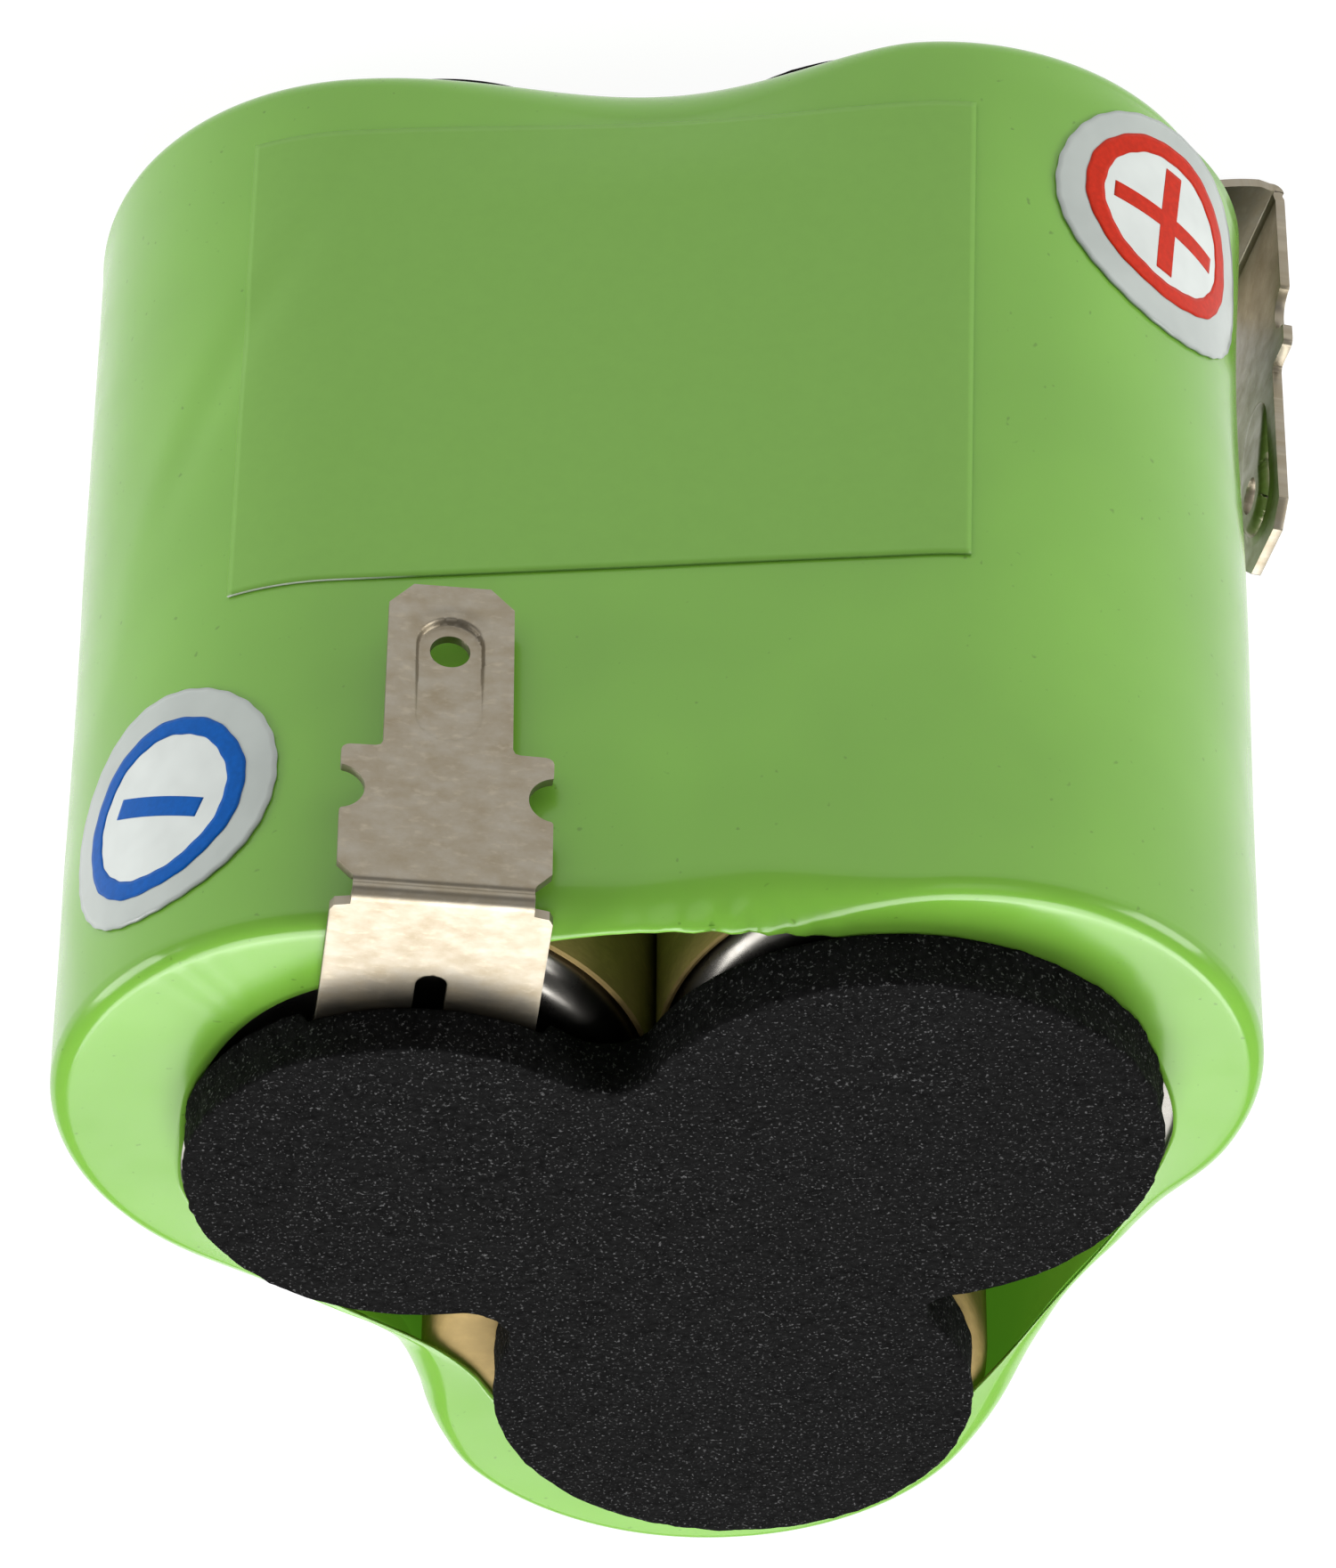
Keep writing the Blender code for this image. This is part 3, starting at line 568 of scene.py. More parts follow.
def wall_waves(along, height):
    """Unevenness of the shrunk wall: slow swells, and diagonal creases over cell 1 as narrow bells."""
    from_front = np.mod(along + ROUND_PACK / 2, ROUND_PACK) - ROUND_PACK / 2
    angle = along * 2 * pi / ROUND_PACK
    ring = np.stack((np.cos(angle), np.sin(angle)), axis=-1) * ROUND_PACK / (2 * pi)
    spot = np.concatenate((ring, np.broadcast_to(height[..., None], ring.shape[:-1] + (1,))), axis=-1)
    waves = grain(spot, 9 * MM, 4) * 0.035 * MM + grain(spot, 4 * MM, 5) * 0.008 * MM
    for around, up, depth, width, tall in FILM_SWELLS:
        off = np.mod(from_front - around * MM + ROUND_PACK / 2, ROUND_PACK) - ROUND_PACK / 2
        waves = waves + depth * MM * bell(off, width * MM) * bell(height - up * MM, tall * MM)
    for start, end, depth, width in (
        ((13.0, 11.5), (19.5, 24.0), -0.10, 0.9), ((17.5, 17.0), (22.0, 30.0), 0.07, 1.2),
        ((24.0, 37.5), (20.5, 43.0), -0.06, 0.8), ((26.5, 36.0), (22.5, 43.5), 0.05, 0.8),
    ):
        run = np.array(end) - start
        length = np.hypot(*run)
        offset = np.stack((from_front / MM - start[0], height / MM - start[1]), axis=-1)
        share = offset @ run / length**2
        off_line = (offset[..., 0] * run[1] - offset[..., 1] * run[0]) / length
        waves = waves + depth * MM * bell(off_line, width) * bell(share - 0.5, 0.55)
    return waves


def wall_point(along, height, lift=0.0):
    """A point on the sleeve's wall, lifted off it along the outline's normal."""
    flat, normal, side, place = outline(along)
    offset = lift + wall_waves(along, height) - sink_depth(side, place, height)
    flat = flat + normal * offset[..., None]
    return np.concatenate((flat, height[..., None]), axis=-1)


def sleeve_surface(settings):
    """The film's outer face from the far lip's edge, up the wall, to the near lip's edge.

    Each end turns in on an ellipse, inset a(1 - cos t) and rise b sin t, and runs on flat as the lip. t ends
    at a right angle where the lip is wide, and earlier where it is narrow.
    """
    columns = np.arange(settings.around) * ROUND_PACK / settings.around
    flat, normal, side, place = outline(columns)
    on_flat = sag_share(side, place)
    near_lip = closed_curve(NEAR_LIP, ROUND_PACK / MM)(columns / MM) * MM
    far_lip = FAR_LIP_WIDTH * (1 - 0.1 * on_flat)
    swell = wall_waves(columns, np.full_like(columns, CELLS_TOP))
    spread = np.linspace(0, 1, 12)[1:]

    def end_rows(end, away, lip, sinks, recede):
        radius = settings.corner if away > 0 else FAR_CORNER
        corner = radius * (1 - bell(lip, 1.0 * MM)) + 0.9 * lip * bell(lip, 1.0 * MM)
        inner = np.minimum(corner + SOFTER * on_flat * smooth_step(lip / MM - 1), lip * 0.92)
        most = pi / 2 * (0.5 + 0.5 * smooth_step((lip - 1.0 * MM) / (2.4 * MM)))
        tall = radius + (SOFT_CORNER - radius) * on_flat * smooth_step(lip / MM - 0.5)
        crest = end + away * (settings.crest - recede * on_flat)
        sag = sagged(side, place, sinks[side]) - swell
        rows = []
        for share in np.linspace(0, 1, 17):
            t = share * most
            rise = tall * (np.sin(most) - np.sin(t))
            rows.append((inner * (1 - np.cos(t)) / (1 - np.cos(most)) + sag, crest - away * rise))
        for t in spread:
            inset = inner + (lip - inner) * t
            rows.append((inset + sag, crest - away * 0.06 * MM * t**2 * smooth_step(lip / MM / 3)))
        return rows

    far = end_rows(CELLS_BOTTOM, -1, far_lip, SINK_FAR, FAR_CREST_RECEDES)
    near = end_rows(CELLS_TOP, 1, near_lip, SINK_NEAR, 0.0)
    rows = list(reversed(far))
    low, high = far[0][1], near[0][1]
    for t in np.linspace(0, 1, 46)[1:-1]:
        height = low + (high - low) * t
        rows.append((sink_depth(side, place, height) - wall_waves(columns, height), height))
    rows.extend(near)
    inset = np.array([row[0] for row in rows])
    height = np.array([row[1] for row in rows])
    points = np.empty(inset.shape + (3,))
    points[..., :2] = flat - normal * inset[..., None]
    points[..., 2] = height
    return points, columns


def lip_puckers(points, columns, amount):
    """Fine puckers across the near corner: a sine round the sleeve under two bells, along the normal."""
    from_front = np.mod(columns + ROUND_PACK / 2, ROUND_PACK) - ROUND_PACK / 2
    envelope = bell(from_front + 4.6 * MM, 3.0 * MM) + 0.1 * bell(from_front - 17 * MM, 2.0 * MM)
    waves = np.sin(from_front * 2 * pi / (1.35 * MM) + 0.6 * np.sin(from_front / (0.9 * MM))) * envelope
    rise = points[..., 2] - CELLS_TOP
    across = bell(rise - 0.2 * MM, 0.4 * MM)
    return surface_normals(points) * (amount * waves * across)[..., None]


class PACK_OT_sleeve(bpy.types.Operator):
    """Make the shrunk film sleeve with its drawn-in lips"""

    bl_idname = "pack.sleeve"
    bl_label = "Sleeve"

    def execute(self, context):
        settings = context.scene.pack_sleeve
        points, columns = sleeve_surface(settings)
        points = points + lip_puckers(points, columns, settings.ripple)
        mesh = mesh_of("film_sleeve", [(points, True)], outward=False)
        film = film_finish(settings.green)
        piece = add_piece("film_sleeve", mesh, film, ["shrink_sleeve"])
        mesh.materials.append(film_inside_finish(settings.green))
        add_wall(piece, settings.wall).material_offset = 1
        return {"FINISHED"}


# The label and the stickers

# The blank label's four corners: distance from the middle of the front, and height.
LABEL_LOW = ((-13.65 * MM, 6.5 * MM), (15.2 * MM, 5.95 * MM))
LABEL_HIGH = ((-13.0 * MM, 29.85 * MM), (15.45 * MM, 29.25 * MM))
LABEL_LIFT = 0.03 * MM
# Each sticker: distance round, height, radius, turn in degrees, and where its print sits on it.
MINUS_STICKER = {"at": (18.2, 38.2), "radius": 5.15, "turn": -25, "print": (0.0, 0.1), "ring": (3.15, 3.92)}
PLUS_STICKER = {"at": (-22.2, 9.9), "radius": 5.4, "turn": -6, "print": (0.1, -0.3), "ring": (3.2, 4.05)}


def patch(s, t, lift):
    """A patch between the label's corners, at shares s across and t up, laid on the wall."""
    low, high = np.array(LABEL_LOW), np.array(LABEL_HIGH)
    bottom = low[0] + (low[1] - low[0]) * s[..., None]
    top = high[0] + (high[1] - high[0]) * s[..., None]
    place = bottom + (top - bottom) * t[..., None]
    return wall_point(place[..., 0], place[..., 1], lift)


def disc_grid(place, reach_of, lift, rings=24, steps=240):
    """Rings from the middle to a reach that depends on the direction, laid on the wall."""
    angle = np.linspace(2 * pi, 0, steps, endpoint=False)
    share = np.linspace(0, 1, rings)[:, None]
    low, high = reach_of(angle)
    reach = low + (high - low) * share
    turn = radians(place["turn"])
    x, y = reach * np.cos(angle), reach * np.sin(angle)
    along = place["at"][0] + x * cos(turn) - y * sin(turn)
    height = place["at"][1] + x * sin(turn) + y * cos(turn)
    return wall_point(along * MM, height * MM, lift)


def bar_reach(angle, half_length, half_width):
    """How far a bar reaches in each direction: the nearer of its side and its end."""
    side, end = np.abs(np.sin(angle)), np.abs(np.cos(angle))
    return np.minimum(half_width / np.maximum(side, 1e-6), half_length / np.maximum(end, 1e-6))


def print_place(sticker):
    return dict(sticker, at=tuple(np.add(sticker["at"], sticker["print"])))


def print_grids(sticker, sign_reach, lift):
    place = print_place(sticker)
    inner, outer = sticker["ring"]
    wobble = lambda angle: 0.02 * np.sin(9 * angle) + 0.015 * np.sin(23 * angle + 1)
    ring = disc_grid(place, lambda angle: (inner + wobble(angle), outer + wobble(angle + 2)), lift, 6)
    sign = disc_grid(place, lambda angle: (0 * angle, sign_reach(angle)), lift, 20, 720)
    return [(ring, True), (sign, True)]


class PACK_OT_label(bpy.types.Operator):
    """Lay the blank label and the two round pole stickers on the sleeve"""

    bl_idname = "pack.label"
    bl_label = "Label and stickers"

    def execute(self, context):
        settings = context.scene.pack_label
        s, t = np.meshgrid(np.linspace(0, 1, 121), np.linspace(0, 1, 81))
        mesh = mesh_of("blank_label", [(patch(s, t, LABEL_LIFT + settings.thickness), False)], outward=False)
        label = add_piece("blank_label", mesh, label_finish(settings.green), ["label"])
        mesh.materials.append(edge_finish())
        add_wall(label, settings.thickness).material_offset_rim = 1

        vinyl = vinyl_finish("sticker_vinyl", (0.46, 0.50, 0.47))
        white = vinyl_finish("sticker_white_print", (0.66, 0.70, 0.67))
        base_lift = 0.13 * MM
        for name, sticker, node in (
            ("minus_vinyl", MINUS_STICKER, "minus_sticker"), ("plus_vinyl", PLUS_STICKER, "plus_sticker"),
        ):
            radius = sticker["radius"] / 5.6 * settings.sticker_radius / MM
            edge = lambda angle: (0 * angle, radius + 0.03 * np.sin(5 * angle) + 0.02 * np.sin(31 * angle))
            mesh = mesh_of(name, [(disc_grid(sticker, edge, base_lift), True)], outward=False)
            add_wall(add_piece(name, mesh, vinyl, [node]), 0.1 * MM)
            place = print_place(sticker)
            disc = lambda angle: (0 * angle, sticker["ring"][0] + 0.2)
            grid = disc_grid(place, disc, base_lift + 0.015 * MM)
            mesh = mesh_of(f"{name}_white", [(grid, True)], outward=False)
            add_wall(add_piece(f"{name}_white", mesh, white), 0.01 * MM)

        plus = lambda angle: np.maximum(bar_reach(angle, 2.75, 0.42), bar_reach(angle + pi / 2, 2.75, 0.42))
        minus = lambda angle: bar_reach(angle, 2.25, 0.42)
        for name, sticker, sign, ink in (
            ("minus_print", MINUS_STICKER, minus, ink_finish("ink_blue", settings.blue)),
            ("plus_print", PLUS_STICKER, plus, ink_finish("ink_red", settings.red)),
        ):
            mesh = mesh_of(name, print_grids(sticker, sign, base_lift + 0.03 * MM), outward=False)
            add_wall(add_piece(name, mesh, ink), 0.02 * MM)
        return {"FINISHED"}


# The foam pads

# A pad's three round lobes, anticlockwise: heading from its middle in degrees, distance and radius in mm.
PAD_LOBES = ((-146, 10.1, 10.1), (-26, 11.1, 8.7), (94, 10.7, 9.4))
NECK_RADII = (2.0, 1.9, 1.1)  # mm, of the arc in the neck between each lobe and the next
EDGE_ROUND = 0.12  # mm
# Each pad's middle in mm, and its turn in degrees from the outline above.
TOP_PAD = {"middle": (-0.6, 0.0), "turn": 0.0}
BOTTOM_PAD = {"middle": (-0.3, 0.1), "turn": -7.7}


def strip_bump(points, tab):
    """1 where a tab's strip lies under the foam, easing to 0 over a third of a millimetre round it."""
    local = points[..., :2] - tab["origin"]
    across = np.abs(local @ tab["across"])
    along = local @ tab["away"]
    beside = smooth_step((4.5 * MM - across) / (0.35 * MM) + 0.5)
    return beside * smooth_step((along + 5.0 * MM) / (0.35 * MM))


def circle_reach(middle, radius, ray, side):
    """How far along each ray from the origin a circle is met: its far side for 1, its near side for -1.

    Along the ray, the circle's middle lies at along. The two meetings are half a chord before and after that.
    """
    along = ray @ middle
    room = radius**2 - (middle @ middle - along**2)
    return np.where(room > 0, along + side * np.sqrt(np.abs(room)), 0.0)


def neck_middle(first, second, first_radius, second_radius):
    """The outer of the two points that lie at the given radii from two middles, which run anticlockwise."""
    gap = second - first
    apart = np.linalg.norm(gap)
    along = (first_radius**2 - second_radius**2 + apart**2) / (2 * apart)
    outward = np.array((gap[1], -gap[0])) / apart
    return first + along * gap / apart + sqrt(first_radius**2 - along**2) * outward


def pad_reach(headings):
    """The pad's reach in mm at each heading: the farthest lobe, or the neck's arc between its two touches."""
    ray = np.stack((np.cos(headings), np.sin(headings)), axis=-1)
    lobes = [
        (np.array((cos(radians(heading)), sin(radians(heading)))) * distance, radius)
        for heading, distance, radius in PAD_LOBES
    ]
    reach = np.max([circle_reach(middle, radius, ray, 1) for middle, radius in lobes], axis=0)
    for (first, first_radius), (second, second_radius), neck in zip(lobes, lobes[1:] + lobes[:1], NECK_RADII):
        middle = neck_middle(first, second, first_radius + neck, second_radius + neck)
        touches = (
            middle + (first - middle) * neck / (first_radius + neck),
            middle + (second - middle) * neck / (second_radius + neck),
        )
        start, end = (atan2(touch[1], touch[0]) for touch in touches)
        inside = np.mod(headings - start, 2 * pi) < (end - start) % (2 * pi)
        reach = np.where(inside, circle_reach(middle, neck, ray, -1), reach)
    return reach


def pad_surface(pad, settings, low, high, sign, tab):
    """The pad as one closed grid: out over the face, round the cut edge, down the wall, in over the back.

    The grain is two sizes of lattice noise. The wall is drawn in a little between its two faces.
    """
    angle = np.linspace(0, 2 * pi, settings.around, endpoint=False)
    reach = pad_reach(angle - radians(pad["turn"])) * MM
    rows = [(share, 0.0, 1.0) for share in np.linspace(0, 1, 84)[:-1] ** 0.75]
    rows += [(1.0, 0.0, 1.0), (1.0, 0.05, 0.988), (1.0, 0.10, 0.95), (1.0, EDGE_ROUND, 0.9)]
    rows += [(1.0, EDGE_ROUND - 0.10 * sin(pi * down), 0.9 - 0.8 * down) for down in np.linspace(0, 1, 11)[1:]]
    rows += [(1.0, 0.10, 0.04), (1.0, 0.0, 0.0)]
    rows += [(share, 0.0, 0.0) for share in np.linspace(1, 0, 30)[1:]]
    share, proud, level = (np.array(column)[:, None] for column in zip(*rows))
    out = share * (reach - EDGE_ROUND * MM) + proud * MM
    points = np.empty(out.shape + (3,))
    points[..., 0] = pad["middle"][0] * MM + out * np.cos(angle)
    points[..., 1] = pad["middle"][1] * MM + out * np.sin(angle)
    points[..., 2] = low + (high - low) * level
    over_strip = strip_bump(points, tab)
    face = level if sign > 0 else 1 - level
    back = 1 - face
    points[..., 2] += sign * over_strip * (back * 0.55 + face * 0.1) * MM
    coarse = grain(points, 0.42 * MM, 11) * 0.6 + grain(points, 0.2 * MM, 12) * 0.8
    swell = grain(points, 3.5 * MM, 13) * 0.06 * MM
    depth = settings.grain * coarse
    sideways = np.where((share == 1) & (level > 0.01), 1.0, 0.0)
    cut = grain(points * (1, 1, 0.35), 0.55 * MM, 14) * 0.07 * MM
    points[..., 0] += sideways * np.cos(angle) * (depth + cut)
    points[..., 1] += sideways * np.sin(angle) * (depth + cut)
    rough = depth + swell if sign > 0 else -np.abs(depth + swell)
    points[..., 2] += np.where(share < 1, sign * face * rough, 0.0)
    return points


class PACK_OT_pads(bpy.types.Operator):
    """Make the two die-cut foam pads"""

    bl_idname = "pack.pads"
    bl_label = "Foam pads"

    def execute(self, context):
        settings = context.scene.pack_pads
        foam = foam_finish(settings.black)
        for name, node, pad, sign, tab in (
            ("top_foam", "top_foam_pad", TOP_PAD, 1, NEGATIVE_TAB),
            ("bottom_foam", "bottom_foam_pad", BOTTOM_PAD, -1, POSITIVE_TAB),
        ):
            low, high = (corner.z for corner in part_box(node))
            points = pad_surface(pad, settings, low, high, sign, tab)
            piece = add_piece(name, mesh_of(name, [(points, True)]), foam, [node])
        return {"FINISHED"}


# The stamped tabs


def tab_frame(cell, heading, offset, height, turned_over):
    """Where a tab sits: its origin on a cell's end, and the directions across it, away from it and up."""
    away = np.array((cos(radians(heading)), sin(radians(heading))))
    across = np.array((away[1], -away[0]))
    origin = CELL_CENTRES[cell - 1] + across * offset
    up = -1 if turned_over else 1
    return {"origin": origin, "away": away, "across": across, "height": height, "up": up}


NEGATIVE_TAB = tab_frame(1, -102, 2.0 * MM, CELLS_TOP, False)
POSITIVE_TAB = tab_frame(3, 160, 0.2 * MM, CELLS_BOTTOM, True)
# How far in mm each tab is sprung up at its bend, and how far its bend is drawn in, by its direction up.
SPRUNG_UP = {1: 0.0, -1: 1.75}
DRAWN_IN = {1: 0.0, -1: 0.15}
# The strip's outer face seen from the side: (away from the cell, up from its end).
STRIP_TAIL = -4.5
STRIP_LOW, STRIP_HIGH = 0.42, 0.85
JOGGLE = (5.2, 6.1)
BEND_REACH, BEND_RADIUS = 14.0, 0.5
BLADE_LENGTH = 14.7
# Half widths along the blade, from the bend's top: (distance, half width).
BLADE_EDGE = (
    (-30.0, 4.1), (-1.05, 4.1), (-0.75, 3.95), (-0.62, 3.38), (0.62, 3.33), (0.78, 3.4), (1.35, 3.95),
    (3.70, 3.95), (3.82, 3.86), (5.74, 3.84), (5.84, 3.93), (6.0, 3.95), (6.52, 3.95), (6.66, 3.9),
    (6.76, 3.78), (6.8, 3.62), (6.82, 2.68), (6.88, 2.5), (7.06, 2.41), (8.2, 2.4), (13.75, 2.36), (14.7, 1.45),
)
NOTCH_AT, NOTCH_RADIUS = 4.8, 1.02
HOLE_AT, HOLE_RADIUS = 11.85, 0.76
SLIT_END, SLIT_HALF_WIDTH = -4.6, 0.6


def strip_path(distance):
    """(away, up, tangent away, tangent up) of the strip's outer face. distance is 0 at the bend's corner.

    It runs flat to the bend, turns a quarter circle of BEND_RADIUS and runs straight down.
    """
    straight = BEND_REACH - BEND_RADIUS
    quarter = BEND_RADIUS * pi / 2
    start = -quarter / 2
    turn = np.clip((distance - start) / BEND_RADIUS, 0, pi / 2)
    before, after = np.minimum(distance - start, 0), np.maximum(distance - start - quarter, 0)
    away = straight + before + BEND_RADIUS * np.sin(turn)
    up = STRIP_HIGH - BEND_RADIUS * (1 - np.cos(turn)) - after
    return away, up, np.cos(turn), -np.sin(turn)


def tab_half_width(distance, relieved):
    """The outer edge: straight runs, a round notch in each side, and a step at the bend if it is relieved."""
    places, widths = zip(*BLADE_EDGE)
    width = np.interp(distance, places, widths)
    if not relieved:
        width = np.maximum(width, np.interp(distance, (-1, -0.5, 2, 2.1), (4.1, 3.95, 3.95, 0)))
    off = distance - NOTCH_AT
    notch = 4.05 - np.sqrt(np.maximum(NOTCH_RADIUS**2 - off**2, 0))
    return np.where(np.abs(off) < NOTCH_RADIUS, np.minimum(width, notch), width)


def tab_inner_edge(distance):
    """The inner edge: the slit between the weld feet, the middle line, and the hole in the blade."""
    off = distance - HOLE_AT
    hole = np.sqrt(np.maximum(HOLE_RADIUS**2 - off**2, 0))
    past = np.clip(distance - SLIT_END + SLIT_HALF_WIDTH, 0, SLIT_HALF_WIDTH)
    slit = np.sqrt(SLIT_HALF_WIDTH**2 - past**2)
    return np.maximum(hole, slit)


def pressed_depth(across, distance, pocket):
    """The pocket's depth: an oval with a crisp step inside a soft dish, deepest towards the tip."""
    middle_line = np.clip(distance, HOLE_AT - 3.3, HOLE_AT + 0.1)
    reach = np.hypot(across, distance - middle_line)
    toward_tip = smooth_step((distance - HOLE_AT + 4.5) / 4.6)
    step = smooth_step((1.32 - reach) / 0.16)
    dish = smooth_step((1.95 - reach) / 0.7)
    score = 0.3 * bell(distance - 0.5, 0.13)
    return pocket * ((0.25 + 0.75 * toward_tip) * step + 0.45 * toward_tip * dish + score)


def tab_surface(place, settings, side):
    """Half of a tab: across = inner edge + share of the width, carried along the strip's path and lowered
    at the joggle and in the pressed pocket."""
    length = -((BEND_REACH - BEND_RADIUS) - STRIP_TAIL) - BEND_RADIUS * pi / 4
    breaks = [point for point, _ in BLADE_EDGE[1:]]
    rows = np.concatenate((
        np.linspace(length, -1.2, 100), np.linspace(-1.2, 1.4, 50), np.linspace(1.4, 9.5, 90),
        np.linspace(9.5, BLADE_LENGTH, 90), np.array(breaks),
        NOTCH_AT + NOTCH_RADIUS * np.cos(np.linspace(0, pi, 40)),
        HOLE_AT + HOLE_RADIUS * np.cos(np.linspace(0, pi, 40)),
        SLIT_END - SLIT_HALF_WIDTH * (1 - np.sin(np.linspace(0, pi / 2, 14))),
    ))
    rows = np.unique(np.round(rows, 4))[:, None]
    inner, outer = tab_inner_edge(rows), tab_half_width(rows, place["up"] > 0)
    share = np.linspace(0, 1, 36)
    across = inner + (outer - inner) * share
    away, up, tangent_away, tangent_up = strip_path(rows)
    joggle_middle = 0.28 - 0.03 * across**2
    joggle = smooth_step((away + 0 * across - JOGGLE[0] - joggle_middle) / (JOGGLE[1] - JOGGLE[0]))
    up = up - (STRIP_HIGH - STRIP_LOW) * (1 - joggle)
    up = up + SPRUNG_UP[place["up"]] * smooth_step((away - 6.5) / 7) * (1 - smooth_step((rows - 0.8) / 3.0))
    away = away - DRAWN_IN[place["up"]] * smooth_step((away - 6.5) / 6)
    pressed = pressed_depth(across, rows, settings.pocket / MM)
    away = away + tangent_up * pressed
    up = up - tangent_away * pressed
    points = np.empty(across.shape + (3,))
    flat = place["origin"] + (
        side * across[..., None] * place["up"] * place["across"] + away[..., None] * place["away"]) * MM
    points[..., :2] = flat
    points[..., 2] = place["height"] + place["up"] * up * MM
    strip = np.stack((side * across, rows + 0 * across), axis=-1) * MM
    return points, strip


def tab_mesh(name, place, settings):
    """Both halves of a tab. The second half's rows run backwards, so that it faces the same way."""
    halves = [tab_surface(place, settings, side) for side in (1, -1)]
    grids = [(halves[0][0], False), (halves[1][0][::-1], False)]
    strip = np.concatenate((halves[0][1].reshape(-1, 2), halves[1][1][::-1].reshape(-1, 2)))
    return mesh_of(name, grids, outward=False, strip=strip)


class PACK_OT_tabs(bpy.types.Operator):
    """Make the two stamped nickel tabs"""

    bl_idname = "pack.tabs"
    bl_label = "Tabs"

    def execute(self, context):
        settings = context.scene.pack_tabs
        nickel = nickel_finish(settings.metal)
        for name, node, place in (
            ("minus_tab", "negative_tab", NEGATIVE_TAB), ("plus_tab", "positive_tab", POSITIVE_TAB),
        ):
            piece = add_piece(name, tab_mesh(name, place, settings), nickel, [node])
            add_wall(piece, settings.thickness)
            bevel = piece.modifiers.new("edges", "BEVEL")
            bevel.width = 0.05 * MM
            bevel.segments = 2
            bevel.limit_method = "ANGLE"
            bevel.angle_limit = radians(50)
        return {"FINISHED"}


# The outside of each cell


def arc(centre, radius, start, end, steps):
    """(radius, height) points on an arc between two angles in degrees."""
    angle = np.radians(np.linspace(start, end, steps))
    return [(centre[0] + radius * cos(a), centre[1] + radius * sin(a)) for a in angle]


def bead(radius, start, rise, steps):
    """The groove rolled round the can, 0.9 sin² deep on the way up its height."""
    return [(radius - 0.9 * sin(t) ** 2, start + rise * t / pi) for t in np.linspace(0.2, pi - 0.2, steps)]


def can_profile():
    """The can in mm from the outside of its bottom: bottom, round edge, wall, bead, crimp, and back inside."""
    outer = [(0, 0.12), (3.5, 0.12), (4.2, 0.0), (8.8, 0.0)] + arc((9.5, 1.4), 1.4, -90, 0, 10)
    outer += [(10.9, 20.0), (10.9, 37.5)] + bead(10.9, 37.5, 1.8, 11)
    outer += [(10.9, 39.3)] + arc((10.3, 41.2), 0.6, 0, 90, 6) + [(9.3, 41.8)]
    inner = [(9.3, 41.5), (10.2, 41.5), (10.6, 41.1), (10.6, 39.3)] + bead(10.6, 39.3, -1.8, 9)
    inner += [(10.6, 37.5), (10.6, 1.5)] + arc((9.5, 1.4), 1.1, 0, -90, 6) + [(0, 0.3)]
    return outer + inner


def tube_profile(cap_up):
    """The paper tube: a thin ring with soft cut edges. Round a cap it also folds in over the crimp."""
    low = [(11.0, 1.05), (11.02, 0.98), (11.14, 0.94), (11.24, 1.0), (11.25, 1.2), (11.24, 8.0)]
    low += [(11.25, 21.0), (11.24, 35.0)]
    if cap_up:
        high = [(11.25, 41.2), (11.2, 41.8), (11.02, 42.15), (10.7, 42.36), (10.2, 42.44), (9.4, 42.46)]
        high += [(8.6, 42.46), (7.9, 42.44), (7.9, 42.24), (9.4, 42.24), (10.2, 42.22), (10.6, 42.15)]
        high += [(10.85, 41.95), (11.0, 41.6)]
    else:
        high = [(11.25, 41.3), (11.2, 41.5), (11.05, 41.5), (11.0, 41.4)]
    return low + high + [(11.0, 21.0), (11.0, 1.05)]


def cap_profile():
    """The pressed cap: flange, wall, rounded top and its inside."""
    outer = [(6.6, 40.8), (6.6, 41.1), (4.9, 41.1), (4.65, 41.2), (4.6, 41.45)]
    outer += [(4.6, 41.9)] + arc((4.05, 41.95), 0.55, 0, 90, 7) + [(0.6, 42.5), (0, 42.42)]
    inner = [(0, 42.15), (3.9, 42.15), (4.25, 41.95), (4.3, 41.7), (4.3, 40.8), (6.6, 40.8)]
    return outer + inner


def washer_profile():
    """The fibre washer that insulates the crimp from the cap."""
    outer = [(6.9, 41.92), (10.2, 41.92), (10.3, 41.97), (10.3, 42.1), (10.2, 42.15)]
    return outer + [(7.0, 42.15), (6.9, 42.1), (6.9, 41.92)]


def turned(name, profile, number, around):
    """A surface of revolution: the profile's radius and height carried round one cell's axis."""
    profile = np.array(profile) * MM
    angle = np.linspace(0, 2 * pi, around, endpoint=False)
    height = CELLS_BOTTOM + profile[:, 1] if CAP_UP[number - 1] else CELLS_TOP - profile[:, 1]
    points = np.empty((len(profile), around, 3))
    points[..., 0] = CELL_CENTRES[number - 1][0] + profile[:, :1] * np.cos(angle)
    points[..., 1] = CELL_CENTRES[number - 1][1] + profile[:, :1] * np.sin(angle)
    points[..., 2] = height[:, None]
    mesh = mesh_of(name, [(points, True)])
    mesh.set_sharp_from_angle(angle=radians(35))
    return mesh


